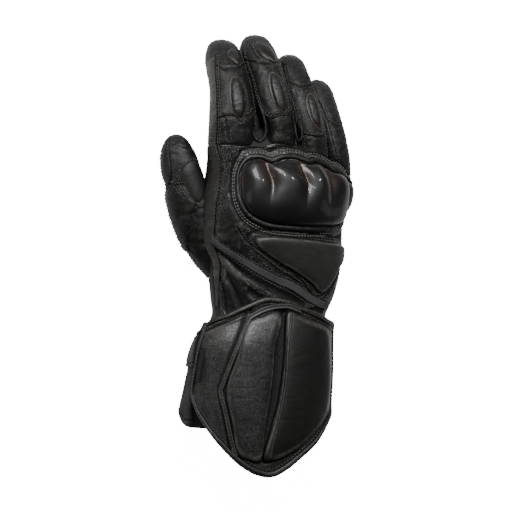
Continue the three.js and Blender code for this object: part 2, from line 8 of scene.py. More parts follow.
import bpy
import numpy as np
from mathutils import Matrix, Vector


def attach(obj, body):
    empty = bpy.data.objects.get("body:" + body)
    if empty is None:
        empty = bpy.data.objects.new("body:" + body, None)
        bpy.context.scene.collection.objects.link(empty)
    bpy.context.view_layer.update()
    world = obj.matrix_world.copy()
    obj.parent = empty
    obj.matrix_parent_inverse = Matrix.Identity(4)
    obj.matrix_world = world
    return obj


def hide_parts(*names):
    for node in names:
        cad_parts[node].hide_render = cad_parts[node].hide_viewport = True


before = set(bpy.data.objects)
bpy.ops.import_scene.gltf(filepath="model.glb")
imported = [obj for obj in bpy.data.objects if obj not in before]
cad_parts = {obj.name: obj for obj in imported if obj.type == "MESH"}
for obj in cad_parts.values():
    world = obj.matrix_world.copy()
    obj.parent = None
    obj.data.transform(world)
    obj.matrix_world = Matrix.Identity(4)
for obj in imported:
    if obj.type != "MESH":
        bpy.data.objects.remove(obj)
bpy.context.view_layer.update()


def new_material(name):
    """Material with its node tree and its shader."""
    material = bpy.data.materials.new(name)
    material.use_nodes = True
    return material, material.node_tree, material.node_tree.nodes["Principled BSDF"]


# Camera, floor and studio lights
# The camera looks down on the back of the hand and leans towards the thumb. It stands far off with a long
# lens, so the glove is drawn almost without perspective. Soft lights hang over a plain pale floor, which
# glows for the camera alone.
LEAN = math.radians(20)
LENS_MM = 200
SENSOR_MM = 36
PICTURED_HEIGHT = 0.3942  # metres
PICTURE_MIDDLE = Vector((0.0074, -0.0015, 0.0))
MIDDLE_DEPTH = 0.028      # metres from the floor to the middle of the glove
WORLD_LIGHT = 0.016
FLOOR_GLOW = 16.0
FLOOR_HALF = 3.0
away = Vector((-math.sin(LEAN), 0, math.cos(LEAN)))
camera_right = Vector((math.cos(LEAN), 0, math.sin(LEAN)))
camera_data = bpy.data.cameras.new("camera")
camera_data.lens = LENS_MM
camera_data.sensor_width = SENSOR_MM
camera_data.clip_end = 20
camera = bpy.data.objects.new("camera", camera_data)
camera_turn = Matrix((camera_right, Vector((0, 1, 0)), away)).transposed().to_4x4()
camera_reach = MIDDLE_DEPTH + PICTURED_HEIGHT * LENS_MM / SENSOR_MM
camera.matrix_world = Matrix.Translation(PICTURE_MIDDLE + away * camera_reach) @ camera_turn
bpy.context.scene.collection.objects.link(camera)
bpy.context.scene.camera = camera


def soft_light(name, place, width, height, watts, aim=(0, 0.02, 0.03)):
    """Rectangular light at a place, turned to face the point that it aims at."""
    light = bpy.data.lights.new(name, "AREA")
    light.shape = "RECTANGLE"
    light.size = width
    light.size_y = height
    light.energy = watts
    lamp = bpy.data.objects.new(name, light)
    lamp.location = place
    lamp.rotation_euler = (Vector(place) - Vector(aim)).to_track_quat("Z", "Y").to_euler()
    bpy.context.scene.collection.objects.link(lamp)


soft_light("overhead_softbox", (-0.25, 0.8, 1.0), 0.65, 0.5, 18)
soft_light("window_left", (-0.04, 0.5, 1.0), 0.07, 0.08, 1.9)
soft_light("window_right", (0.42, 0.5, 0.95), 0.07, 0.08, 1.9)
soft_light("fill_from_thumb_side", (-1.3, -0.1, 0.8), 0.6, 0.6, 1.6)
soft_light("fill_from_little_finger_side", (1.2, -0.3, 0.5), 0.4, 0.8, 0.6)
world = bpy.data.worlds.new("studio")
world.use_nodes = True
sky = world.node_tree.nodes["Background"]
sky.inputs["Color"].default_value = (1.0, 1.0, 1.0, 1)
sky.inputs["Strength"].default_value = WORLD_LIGHT
bpy.context.scene.world = world

floor_mesh = bpy.data.meshes.new("floor")
floor_corners = [(x * FLOOR_HALF, y * FLOOR_HALF, 0) for x, y in ((-1, -1), (1, -1), (1, 1), (-1, 1))]
floor_mesh.from_pydata(floor_corners, [], [(0, 1, 2, 3)])
floor = bpy.data.objects.new("floor", floor_mesh)
floor_paint, tree, shader = new_material("pale_floor")
shader.inputs["Base Color"].default_value = (0.8, 0.8, 0.8, 1)
shader.inputs["Roughness"].default_value = 0.6
shader.inputs["Emission Color"].default_value = (1.0, 1.0, 1.0, 1)
seen = tree.nodes.new("ShaderNodeLightPath")
glow = tree.nodes.new("ShaderNodeMath")
glow.operation = "MULTIPLY"
glow.inputs[1].default_value = FLOOR_GLOW
tree.links.new(seen.outputs["Is Camera Ray"], glow.inputs[0])
tree.links.new(glow.outputs[0], shader.inputs["Emission Strength"])
floor_mesh.materials.append(floor_paint)
bpy.context.scene.collection.objects.link(floor)

# Back of the hand
# Cowhide sewn to the palm, to a strip on the thumb's side, and to the fingers in one seam across the webs.
# Its edges roll down into the seams, it creases at the wrist, and it rises over the roots of the fingers.
CENTRE = np.array([7.4, -1.45, 0.0])  # from the tables' own zero to the middle of the glove
LEATHER = 2.0                         # thickness of the hand's leather
LAID_IN = 0.9                         # how far a laid-on piece sinks into the leather under it
HAND_SQUARENESS = 2.4
LATTICE = 24                          # random numbers along each side before a noise repeats


def table(rows):
    """Rows of numbers in the order of their first column."""
    rows = np.array(rows, float)
    return rows[np.argsort(rows[:, 0])]


# along, centre, half width, height of the side, of the crest and of the underside, fall of the crest
HAND = table([
    (96, 3.0, 52.0, 35.0, 46.0, 24.0, 9.0),
    (87, 3.6, 55.6, 35.0, 49.5, 21.0, 9.0),
    (70, 5.7, 57.0, 33.0, 53.5, 13.0, 8.0),
    (55, 5.0, 57.0, 31.0, 56.0, 8.5, 7.0),
    (40, 2.6, 57.6, 29.0, 57.0, 5.5, 6.0),
    (25, 2.9, 58.4, 27.5, 56.0, 3.0, 5.0),
    (10, 3.3, 58.0, 25.5, 54.0, 0.5, 4.0),
    (-5, 6.5, 54.2, 24.5, 51.0, -1.0, 3.0),
    (-20, 6.4, 52.2, 23.5, 48.0, -1.0, 2.0),
    (-35, 4.4, 48.7, 23.0, 46.0, 1.5, 1.0),
    (-46, 1.7, 45.6, 23.0, 45.0, 4.2, 0.5),
    (-62, -4.0, 51.4, 24.5, 50.5, 3.1, 0.0),
])
WRIST_END = -60
SIDE_PANEL_END = -47.5
WEB_SEAM = table([
    (0, 64), (12, 67), (22, 70.8), (53, 76), (76, 80), (86.6, 84.2), (92.6, 86), (103, 84.7), (153, 84.7),
    (180, 84), (230, 84), (310, 74), (360, 64),
])
THUMB_SEAM = table([
    (-60, 169), (-48, 169), (-40, 164), (-33, 161), (-20, 157.5), (-5, 153.5), (10, 151.5), (40, 149.5),
    (70, 152),
    (87, 155),
])
LITTLE_SIDE_SEAM = 1
PALM_SEAM = 170


def hermite(t, start, end, leaving, arriving):
    """Cubic from start to end over t from 0 to 1, with its slopes at both ends."""
    return ((2 * t**3 - 3 * t**2 + 1) * start + (t**3 - 2 * t**2 + t) * leaving
            + (3 * t**2 - 2 * t**3) * end + (t**3 - t**2) * arriving)


def smooth(rows, column, place):
    """Value of a column at each place in the first column: a cubic curve through the rows, whose slope at a
    row is the mean of the two chords beside it, each weighted by the width of the other's span."""
    key, value = rows[:, 0], rows[:, column]
    width = np.diff(key)
    chord = np.diff(value) / width
    inner = (chord[1:] * width[:-1] + chord[:-1] * width[1:]) / (width[1:] + width[:-1])
    slope = np.concatenate([chord[:1], inner, chord[-1:]])
    here = np.clip(place, key[0], key[-1])
    i = np.clip(np.searchsorted(key, here, side="right") - 1, 0, len(key) - 2)
    t = (here - key[i]) / width[i]
    return hermite(t, value[i], value[i + 1], width[i] * slope[i], width[i] * slope[i + 1])


def signed_power(value, exponent):
    """The size of a value to a power, with the value's own sign."""
    return np.sign(value) * np.abs(value) ** exponent


def ease(value, start, end):
    """0 before start, 1 after end, and a smooth S between them."""
    t = np.clip((value - start) / (end - start), 0, 1)
    return t * t * (3 - 2 * t)


def bell(distance, width):
    """1 at no distance, falling off like a bell over a width."""
    return np.exp(-((distance / width) ** 2))


def body_point(rows, around, along, palm_squareness=HAND_SQUARENESS):
    """Point of the hand's or cuff's cross section: a superellipse with its own half height above and below
    the side line, whose crest falls towards the little finger, flattened where it meets the floor."""
    angle = np.radians(around)
    power = 2 / np.where(np.sin(angle) < 0, palm_squareness, HAND_SQUARENESS)
    across = signed_power(np.cos(angle), power)
    up = signed_power(np.sin(angle), power)
    centre, half, side, top, low, fall = (smooth(rows, column, along) for column in range(1, 7))
    reach = np.where(up > 0, top - side, side - low)
    z = side + reach * up - fall * across**2 * np.where(across > 0, 1, 0.35)
    return np.stack([centre + half * across, along + 0 * around, np.maximum(z, 0)], -1)


def rounded_up(own, over, soften):
    """The larger of two heights, with their meeting rounded off over the distance "soften"."""
    blend = np.clip(0.5 + 0.5 * (over - own) / soften, 0, 1)
    return own + (over - own) * blend + soften * blend * (1 - blend)


def finger_skin(x, y, upward):
    """Height of the fingers' backs (upward 1) or undersides (upward -1) over x and y near their roots."""
    best = np.full(np.shape(x), -100.0)
    for line in FINGERS.values():
        by_y = line[:, [1, 0, 2, 3, 4]]
        across = np.abs((x - smooth(by_y, 1, y)) / smooth(by_y, 3, y))
        rise = np.maximum(1 - across**2.5, 0) ** 0.4
        height = upward * smooth(by_y, 2, y) + smooth(by_y, 4, y) * rise
        best = np.maximum(best, np.where(across < 1, height, -100))
    return best


def on_hand(around, along):
    """The hand's surface, raised smoothly to clear the fingers' roots near the webs."""
    point = body_point(HAND, around, along)
    upward = np.where(np.sin(np.radians(around)) > 0, 1.0, -1.0)
    own = upward * point[..., 2]
    over = finger_skin(point[..., 0], point[..., 1], upward) + 0.4
    raised = rounded_up(own, over, 3.0)
    near_webs = ease(along, 52, 66)
    point[..., 2] = np.maximum(upward * (own + (raised - own) * near_webs), 0)
    for name, side, from_along, to_along in (("little", 1, 28, 44), ("index", -1, 56, 76)):
        finger = FINGERS[name][:, [1, 0, 2, 3, 4]]
        level = np.abs((point[..., 2] - smooth(finger, 2, along)) / smooth(finger, 4, along))
        edge = np.maximum(1 - level**2.5, 0) ** 0.4
        outside = side * smooth(finger, 1, along) + smooth(finger, 3, along) * edge + 0.8
        own = side * point[..., 0]
        near = ease(along, from_along, to_along) * ease(own, 30, 45) * ease(edge, 0.1, 0.8)
        bulging = np.clip(0.5 + 0.5 * (outside - own) / 3.0, 0, 1) * near
        grown = own + (outside - own) * bulging + 2.0 * bulging * (1 - bulging)
        drawn = own + np.clip(outside - own, -3, 3) * near
        point[..., 0] = side * (drawn if side < 0 else grown)
    return point


def lifted(surface, around, along, lift):
    """Point of a surface moved outwards by lift, along the normal found from neighbouring points."""
    step = 0.6
    onward = surface(around, along + step) - surface(around, along - step)
    sideways = surface(around + step, along) - surface(around - step, along)
    normal = np.cross(onward, sideways)
    normal /= np.linalg.norm(normal, axis=-1, keepdims=True) + 1e-9
    return surface(around, along) + normal * np.asarray(lift)[..., None]


def noise(points, size, seed):
    """Smooth random value from -1 to 1 at each point: random numbers on a lattice whose cells have the given
    size in millimetres along x, y and z, blended between the eight corners of a cell."""
    lattice = np.random.default_rng(seed).uniform(-1, 1, (LATTICE, LATTICE, LATTICE))
    place = points / np.array(size, float)
    cell = np.floor(place).astype(int)
    part = place - cell
    part = part * part * (3 - 2 * part)
    total = 0
    for corner in np.ndindex(2, 2, 2):
        at = (cell + corner) % LATTICE
        share = np.prod(np.where(corner, part, 1 - part), axis=-1)
        total = total + share * lattice[at[..., 0], at[..., 1], at[..., 2]]
    return total


def line_distance(u, v, line):
    """Distance from each (u, v) to the nearest place on a line of points, with the side as its sign."""
    line = np.array(line, float)
    best = np.full(np.shape(u), 1e9)
    sign = np.ones(np.shape(u))
    for (u0, v0), (u1, v1) in zip(line[:-1], line[1:]):
        du, dv = u1 - u0, v1 - v0
        t = np.clip(((u - u0) * du + (v - v0) * dv) / (du * du + dv * dv), 0, 1)
        away_u, away_v = u - u0 - t * du, v - v0 - t * dv
        distance = np.hypot(away_u, away_v)
        sign = np.where(distance < best, np.sign(du * away_v - dv * away_u), sign)
        best = np.minimum(best, distance)
    return best * np.where(sign == 0, 1, sign)


def groove(distance, depth, width):
    """Stitched-down seam: a round-bottomed furrow with a low swelling of leather along each side."""
    away_from = np.abs(distance)
    return -depth * bell(away_from, width) + 0.35 * depth * bell(away_from - 2.4 * width, width)


def wrinkles(points, size, depth, seed):
    """Creases in soft leather: narrow valleys where a stretched noise crosses zero, over a gentle swell."""
    field = noise(points, size, seed) + 0.5 * noise(points, np.array(size) / 2.1, seed + 1)
    return depth * (np.minimum(np.abs(field) / 0.35, 1) ** 0.7 - 0.8
                    + 0.35 * noise(points, np.array(size) * 1.7, seed + 2))


def rolled(distance, radius):
    """Lift of an edge that turns down in a quarter circle within a distance of its end."""
    inside = np.clip(distance / radius, 0, 1)
    return -radius * (1 - np.sqrt(np.maximum(1 - (1 - inside) ** 2, 0)))


def crowded(count, strength=0.8):
    """Places from 0 to 1 that lie closer together near both ends."""
    even = np.linspace(0, 1, count)
    return even - strength * np.sin(2 * np.pi * even) / (2 * np.pi)


def laid_on(surface, around, along, lift, sunk=LAID_IN, **ends):
    """Points and faces of a closed piece on a surface: its top lifted off it, its underside sunk into it."""
    under = np.full(lift.shape, -sunk)
    return closed_sheet(lifted(surface, around, along, lift), lifted(surface, around, along, under), **ends)


def between(lines, share):
    """Places around and along at a share of the way from the first line to the second."""
    first, last = lines
    return tuple(start + (end - start) * share for start, end in zip(first, last))


def grid_quads(number):
    """One quad for each cell of a grid of point numbers."""
    return np.stack([number[:-1, :-1], number[:-1, 1:], number[1:, 1:], number[1:, :-1]], -1).reshape(-1, 4)


def tube_faces(rows, columns):
    """Faces of a tube of rings of points, closed at both ends."""
    number = np.arange(rows * columns).reshape(rows, columns)
    faces = grid_quads(np.concatenate([number, number[:, :1]], 1)).tolist()
    return faces + [number[0].tolist()[::-1], number[-1].tolist()]


def closed_sheet(upper, lower, loop=False, pole=False):
    """Points and faces of a closed wall between two grids, with quads along its open edges. With loop the
    columns close on themselves, and with pole the last row is drawn together to a point."""
    rows, columns = upper.shape[:2]
    points = np.concatenate([upper.reshape(-1, 3), lower.reshape(-1, 3)])
    count = rows * columns
    number = np.arange(count).reshape(rows, columns)
    if loop:
        number = np.concatenate([number, number[:, :1]], 1)
    faces = [grid_quads(number), grid_quads(number)[:, ::-1] + count]
    a, b = number[0, :-1], number[0, 1:]
    faces.append(np.stack([b, a, a + count, b + count], -1))
    if not pole:
        c, d = number[-1, 1:], number[-1, :-1]
        faces.append(np.stack([d, c, c + count, d + count], -1))
    if not loop:
        d, a = number[1:, 0], number[:-1, 0]
        faces.append(np.stack([a, d, d + count, a + count], -1))
        b, c = number[:-1, -1], number[1:, -1]
        faces.append(np.stack([c, b, b + count, c + count], -1))
    faces = np.concatenate(faces).tolist()
    if pole:
        tips = np.stack([upper[-1].mean(0), lower[-1].mean(0)])
        start = len(points)
        points = np.concatenate([points, tips])
        c, d = number[-1, 1:], number[-1, :-1]
        faces += np.stack([d, c, np.full(len(c), start)], -1).tolist()
        faces += np.stack([c + count, d + count, np.full(len(c), start + 1)], -1).tolist()
    return points, faces


def make_piece(name, points, faces, material, slot, nodes=(), relief=None):
    """Object with its place in its mesh, in metres, faces turned outwards, riding on the glove."""
    points = (np.asarray(points) + CENTRE) / 1000
    fan = np.array([(f[0], f[i], f[i + 1]) for f in faces[::7] for i in range(1, len(f) - 1)])
    corners = points[fan] - points.mean(0)
    volume = np.einsum("ij,ij->i", corners[:, 0], np.cross(corners[:, 1], corners[:, 2])).sum()
    if volume < 0:
        faces = [face[::-1] for face in faces]
    mesh = bpy.data.meshes.new(name)
    mesh.from_pydata(points.tolist(), [], faces)
    mesh.shade_smooth()
    if relief is not None:
        values = np.zeros(len(points), np.float32)
        values[:relief.size] = relief.ravel()
        mesh.attributes.new("relief", "FLOAT", "POINT").data.foreach_set("value", values)
    mesh.materials.append(material)
    piece = bpy.data.objects.new(name, mesh)
    bpy.context.scene.collection.objects.link(piece)
    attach(piece, "root")
    if nodes:
        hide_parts(*nodes)
    return piece


def new_group(name, inputs, outputs):
    """Empty node group with float or vector inputs and float outputs."""
    group = bpy.data.node_groups.new(name, "ShaderNodeTree")
    for label, kind, value in inputs:
        socket = group.interface.new_socket(label, in_out="INPUT", socket_type=kind)
        if value is not None:
            socket.default_value = value
    for label in outputs:
        group.interface.new_socket(label, in_out="OUTPUT", socket_type="NodeSocketFloat")
    return group, group.nodes.new("NodeGroupInput"), group.nodes.new("NodeGroupOutput")


def add_node(tree, kind, values=None, **settings):
    """Node with its settings, and with its input sockets given values or links."""
    node = tree.nodes.new(kind)
    for key, value in settings.items():
        setattr(node, key, value)
    for key, value in (values or {}).items():
        if isinstance(value, bpy.types.NodeSocket):
            tree.links.new(value, node.inputs[key])
        else:
            node.inputs[key].default_value = value
    return node


def remap(tree, value, low, high, to_low=0.0, to_high=1.0):
    """Value carried from one range to another and kept within it."""
    return add_node(tree, "ShaderNodeMapRange", {
        "Value": value, "From Min": low, "From Max": high, "To Min": to_low, "To Max": to_high,
    }).outputs["Result"]


def math_of(tree, operation, first, second):
    """Result of a sum, product or power of two values."""
    return add_node(tree, "ShaderNodeMath", {0: first, 1: second}, operation=operation).outputs[0]


def grain_group():
    """Hide grain: pebbles between fine furrows in two sizes, with slow changes of tone and depth."""
    group, given, out = new_group("hide_grain", [
        ("Place", "NodeSocketVector", None), ("Pebble size", "NodeSocketFloat", 1.0),
        ("Stretch", "NodeSocketFloat", 0.3)], ["Height", "Tone", "Furrow"])
    bend = add_node(group, "ShaderNodeTexNoise",
                    {"Vector": given.outputs["Place"], "Scale": 260.0, "Detail": 2.0})
    shift = add_node(group, "ShaderNodeVectorMath", {0: bend.outputs["Color"], 3: 0.0016},
                     operation="SCALE")
    place = add_node(group, "ShaderNodeVectorMath", {0: given.outputs["Place"], 1: shift.outputs[0]},
                     operation="ADD")
    per_metre = math_of(group, "DIVIDE", 1000.0, given.outputs["Pebble size"])
    cells = add_node(group, "ShaderNodeTexVoronoi", {"Vector": place.outputs[0], "Scale": per_metre},
                     feature="DISTANCE_TO_EDGE")
    finer = math_of(group, "MULTIPLY", per_metre, 2.3)
    small = add_node(group, "ShaderNodeTexVoronoi", {"Vector": place.outputs[0], "Scale": finer},
                     feature="DISTANCE_TO_EDGE")
    slow = add_node(group, "ShaderNodeTexNoise",
                    {"Vector": given.outputs["Place"], "Scale": 45.0, "Detail": 4.0})
    large = remap(group, cells.outputs["Distance"], 0.0, 0.28)
    fine = remap(group, small.outputs["Distance"], 0.0, 0.3)
    depth = remap(group, slow.outputs["Fac"], 0.35, 0.7, 0.35, 1.0)
    height = math_of(group, "ADD", math_of(group, "MULTIPLY", large, 0.7),
                     math_of(group, "MULTIPLY", fine, 0.3))
    group.links.new(math_of(group, "MULTIPLY", height, depth), out.inputs["Height"])
    group.links.new(remap(group, slow.outputs["Fac"], 0.32, 0.68), out.inputs["Tone"])
    group.links.new(math_of(group, "SUBTRACT", 1.0, large), out.inputs["Furrow"])
    return group


def wear_and_shade_group():
    """Rubbed crests, broken up by noise, and hollows that get painted shade, both from the mesh's relief
    value in millimetres.
    """
    group, given, out = new_group("rubbed_and_shaded_leather", [
        ("Place", "NodeSocketVector", None), ("Reach", "NodeSocketFloat", 0.6)], ["Rubbed", "Hollow"])
    relief = add_node(group, "ShaderNodeAttribute", attribute_name="relief", attribute_type="GEOMETRY")
    patches = add_node(group, "ShaderNodeTexNoise",
                       {"Vector": given.outputs["Place"], "Scale": 160.0, "Detail": 5.0})
    crest = add_node(group, "ShaderNodeMapRange", {
        "Value": relief.outputs["Fac"], "From Min": 0.05, "From Max": given.outputs["Reach"],
    }).outputs["Result"]
    patchy = remap(group, patches.outputs["Fac"], 0.38, 0.62, 0.25, 1.0)
    group.links.new(math_of(group, "MULTIPLY", crest, patchy), out.inputs["Rubbed"])
    group.links.new(remap(group, relief.outputs["Fac"], -0.1, -1.1), out.inputs["Hollow"])
    return group


HIDE_GRAIN = grain_group()
RUBBED_AND_SHADED = wear_and_shade_group()
# Shares of the dye: darkest tone, palest tone, furrows of the grain, and the painted shade in hollows
DYE_AND_SHADE_TONES = (0.252, 0.546, 0.168, 0.0756)


def colour_mix(tree, share, first, second):
    """Colour between two, each a set of numbers or the colour of an earlier mix."""
    ends = {key: (*value, 1) if isinstance(value, (list, tuple)) else value
            for key, value in (("A", first), ("B", second))}
    return add_node(tree, "ShaderNodeMix", {"Factor": share, **ends}, data_type="RGBA").outputs["Result"]


def leather_finish(name, dye, rubbed, pebble=1.1, roughness=(0.36, 0.55), bump=0.00012, coat=0.75):
    """Dyed leather: its colour shifts slowly, rubbed crests are paler and smoother, hollows are darkened
    with painted shade, and only the crests of the grain are glossy."""
    material, tree, shader = new_material(name)
    place = add_node(tree, "ShaderNodeTexCoord").outputs["Object"]
    grain = add_node(tree, "ShaderNodeGroup", node_tree=HIDE_GRAIN)
    wear_and_shade = add_node(tree, "ShaderNodeGroup", node_tree=RUBBED_AND_SHADED)
    grain.inputs["Pebble size"].default_value = pebble
    for node in (grain, wear_and_shade):
        tree.links.new(place, node.inputs["Place"])
    dark, pale, furrow, hollow_shade = ([value * share for value in dye] for share in DYE_AND_SHADE_TONES)
    tones = colour_mix(tree, grain.outputs["Tone"], dark, pale)
    furrowed = colour_mix(tree, math_of(tree, "MULTIPLY", grain.outputs["Furrow"], 0.45), tones, furrow)
    worn = colour_mix(tree, math_of(tree, "MULTIPLY", wear_and_shade.outputs["Rubbed"], 0.75), furrowed, rubbed)
    # Painted shade: where the relief value falls below zero, in seams, grooves and turned-down edges, the
    # colour is mixed towards a darker tone.
    deep = colour_mix(tree, math_of(tree, "MULTIPLY", wear_and_shade.outputs["Hollow"], 0.85), worn, hollow_shade)
    tree.links.new(deep, shader.inputs["Base Color"])
    smoothness = add_node(tree, "ShaderNodeMapRange", {
        "Value": grain.outputs["Tone"], "To Min": roughness[1], "To Max": roughness[0]}).outputs["Result"]
    polished = math_of(tree, "SUBTRACT", smoothness, math_of(tree, "MULTIPLY", wear_and_shade.outputs["Rubbed"], 0.1))
    dull = math_of(tree, "ADD", polished, math_of(tree, "MULTIPLY", wear_and_shade.outputs["Hollow"], 0.25))
    tree.links.new(dull, shader.inputs["Roughness"])
    soft = add_node(tree, "ShaderNodeTexNoise", {"Vector": place, "Scale": 520.0, "Detail": 3.0})
    slack = add_node(tree, "ShaderNodeBump",
                     {"Height": soft.outputs["Fac"], "Distance": 1.5 * bump, "Strength": 0.4})
    bumps = add_node(tree, "ShaderNodeBump", {
        "Height": grain.outputs["Height"], "Distance": bump, "Strength": 0.9,
        "Normal": slack.outputs["Normal"]})
    tree.links.new(bumps.outputs["Normal"], shader.inputs["Normal"])
    crest = math_of(tree, "SUBTRACT", 1.0, grain.outputs["Furrow"])
    out_of_hollows = math_of(tree, "SUBTRACT", 1.0, wear_and_shade.outputs["Hollow"])
    glossy = math_of(tree, "MULTIPLY", math_of(tree, "MULTIPLY", crest, out_of_hollows), coat)
    tree.links.new(glossy, shader.inputs["Coat Weight"])
    shader.inputs["Specular IOR Level"].default_value = 0.28
    shader.inputs["Coat Roughness"].default_value = sum(roughness) / 2
    return material


hand_leather = leather_finish("hand_leather", (0.026, 0.0258, 0.0235), (0.08, 0.077, 0.069), 1.5,
                              (0.2, 0.34), 0.0004, coat=0.95)

# Index, middle, ring and little finger: x, y, z of the centre line, half width and half height, root to tip
FINGERS = {}
FINGERS["index"] = np.array([
    (-34.5, 62, 33.0, 15.5, 14.0), (-33.4, 84, 35.0, 17.0, 14.0), (-32.5, 106, 36.5, 17.3, 14.0),
    (-32.4, 128, 31.5, 15.4, 13.2), (-32.8, 146, 20.5, 14.2, 12.8), (-32.4, 164, 3.4, 13.0, 12.0)])
FINGERS["middle"] = np.array([
    (4.1, 62, 35.0, 14.2, 14.0), (2.9, 84, 37.0, 14.2, 14.0), (0.5, 108, 38.0, 14.1, 13.8),
    (-2.5, 131, 32.5, 14.0, 13.0), (-4.6, 150, 21.5, 13.6, 12.4), (-5.2, 168, 3.2, 12.6, 11.8)])
FINGERS["ring"] = np.array([
    (33.6, 56, 31.0, 12.4, 13.4), (32.0, 78, 33.0, 12.4, 13.4), (29.4, 98, 33.5, 12.4, 13.0),
    (26.3, 118, 28.5, 12.2, 12.5), (24.2, 136, 18.8, 12.0, 12.0), (22.7, 154.5, 4.0, 11.6, 11.4)])
FINGERS["little"] = np.array([
    (49.0, 26, 25.0, 9.0, 11.0), (55.2, 50, 25.5, 10.6, 12.0), (56.0, 70, 25.5, 11.0, 12.0),
    (53.6, 86, 25.5, 10.9, 11.8), (50.5, 104, 21.5, 10.9, 11.3), (48.2, 120, 14.6, 10.8, 10.9),
    (46.5, 136.5, 5.0, 10.6, 10.5)])


def panel(surface, around_span, along_span, relief, size, thickness=LEATHER, edge=1.3):
    """Upper and lower grids of a sewn panel. Its two spans are functions that give its edges, relief gives
    the height of its folds and seams over the surface, and its edges turn down by "edge" millimetres."""
    down = crowded(size[0])[:, None]
    across = crowded(size[1])[None, :]
    guess = along_span(np.full(across.shape, 90.0))
    along = guess[0] + (guess[1] - guess[0]) * down
    for _ in range(3):
        right_edge, left_edge = around_span(along)
        around = right_edge + (left_edge - right_edge) * across
        low_edge, high_edge = along_span(around)
        along = low_edge + (high_edge - low_edge) * down
    to_side = np.minimum(across, 1 - across) * np.abs(left_edge - right_edge)
    to_end = np.minimum(down, 1 - down) * np.abs(high_edge - low_edge)
    height = rolled(to_side, edge) + rolled(to_end, edge) + relief(around, along)
    height = np.maximum(height, -0.85 * thickness)
    upper = lifted(surface, around, along, height)
    lower = lifted(surface, around, along, np.full(height.shape, -thickness))
    return upper, lower, height


# Stitched channels and folds of the back, as lines of (around, along)
BACK_SEAMS = [
    [(143.8, 7), (133.8, 0), (122.2, -6.9), (107.2, -14.7), (94.8, -20.8), (80, -26.5)],
    [(124.2, 21.6), (116, 11), (109.4, 6.1), (97, -4.6), (80.2, -17.7), (66, -29), (57, -31.5), (48, -28)],
]
WRIST_FOLDS = [
    [(150, 4), (130, -11), (110, -20.5), (91, -29.5), (78, -36)],
    [(160, -8), (153, -22), (149, -40)],
    [(143, -16), (134, -28), (126, -40)],
    [(118, -27), (106, -34), (98, -42)],
    [(40, -42), (54, -40), (66, -44)],
]
GUARD_OUTLINE = [
    (125, 53), (125, 63), (117, 71.5), (107, 72.5), (98, 69.8), (90, 73), (84, 72.6), (75.5, 69.4),
    (69.5, 70.4), (61, 68), (51, 64), (39, 63), (25, 59), (13, 51), (10, 41), (17, 32), (30, 26), (47, 23.8),
    (66, 23.4), (85, 23.8), (102, 27), (114, 34), (121, 44)]
BACK_PAD = [
    (109.5, 12.5), (102, 14.6), (82, 13.2), (58, 10.6), (30, 8.4), (15, 5.5), (18, -3), (30, -9), (44, -22),
    (53, -28), (59, -27.5), (67, -22.5), (83, -13.5), (96, -3.5), (107, 6.5)]
GUARD_ROWS = (6.3, 8.2)  # distances of the rows of stitches outside the guard's outline
PAD_ROWS = (1.6, 3.5)    # and outside the back pad's
STRIPE_LINE = [(153, 12.7), (130, -1), (110, -11.1), (91, -20.3), (72, -30.3), (55, -35.8), (34, -39)]


def back_relief(around, along):
    """Seams, wrist folds and soft creases of the back of the hand, in millimetres."""
    point = body_point(HAND, around, along)
    height = wrinkles(point, (15, 11, 15), 0.22, 11)
    for line in BACK_SEAMS:
        height = height + groove(line_distance(around, along, line), 0.7, 0.8)
    for line in WRIST_FOLDS:
        distance = line_distance(around, along, line)
        height = height - 1.3 * bell(distance, 2.0) + 0.9 * bell(distance - 4.5, 3.0)
    wrist = ease(-along, 12, 34)
    height = height + wrist * 0.8 * noise(point, (34, 16, 34), 21)
    height = height * (1 - np.exp(-((line_distance(around, along, STRIPE_LINE) / 3.0) ** 4)))
    for line, rows in ((GUARD_OUTLINE, GUARD_ROWS), (BACK_PAD, PAD_ROWS)):
        ring = np.abs(line_distance(around, along, line + line[:1]))
        height = height - 0.3 * sum(bell(ring - row, 0.55) for row in rows)
        height = height - 1.5 * bell(ring - rows[1] - 1.9, 1.0)
        puckered = bell(ring - rows[1] - 3, 5)
        height = height + puckered * wrinkles(point, (3.2, 3.2, 5), 0.35, 35)
    crease_zone = bell(along - 16, 9) * ease(around, 108, 124)
    return height + crease_zone * wrinkles(point, (13, 3.2, 13), 0.8, 31)


upper, lower, relief = panel(
    on_hand,
    lambda along: (LITTLE_SIDE_SEAM + 0 * along, smooth(THUMB_SEAM, 1, along) - 0.6),
    lambda around: (WRIST_END + 0 * around, smooth(WEB_SEAM, 1, around)),
    back_relief, (156, 140))
# Painted shade: the relief value is lowered towards the wrist, darkening the leather there; the surface
# itself is not moved.
relief = relief - 0.95 * ease(-upper[..., 1], 10, 30)
points, faces = closed_sheet(upper, lower)
make_piece("hand_back_leather", points, faces, hand_leather, "leather", ["hand_back"], relief)

# Side panel
# A long strip of softer, browner leather between the back and the palm on the thumb's side, from the wrist,
# where it tapers out, to the root of the index finger, sewn down along both edges.
side_leather = leather_finish("side_leather", (0.074, 0.069, 0.056), (0.16, 0.145, 0.115), 0.9,
                              (0.38, 0.56), 0.0002)


def side_relief(around, along):
    """Cross folds of the strip, deeper where the thumb pulls on it."""
    point = body_point(HAND, around, along)
    return wrinkles(point, (22, 7, 22), 0.35 + 0.35 * ease(-along, -20, 10), 41)


upper, lower, relief = panel(
    on_hand,
    lambda along: (smooth(THUMB_SEAM, 1, along) + 0.4, PALM_SEAM - 0.5 + 0 * along),
    lambda around: (SIDE_PANEL_END + 0 * around, smooth(WEB_SEAM, 1, around)),
    side_relief, (130, 30))
points, faces = closed_sheet(upper, lower)
make_piece("side_panel_leather", points, faces, side_leather, "leather", ["side_panel"], relief)

# Palm
# Plain matt hide under the hand. The same hide closes the hand between the roots of the fingers.
palm_leather = leather_finish("palm_leather", (0.02, 0.019, 0.017), (0.045, 0.042, 0.037), 0.7, (0.5, 0.7))


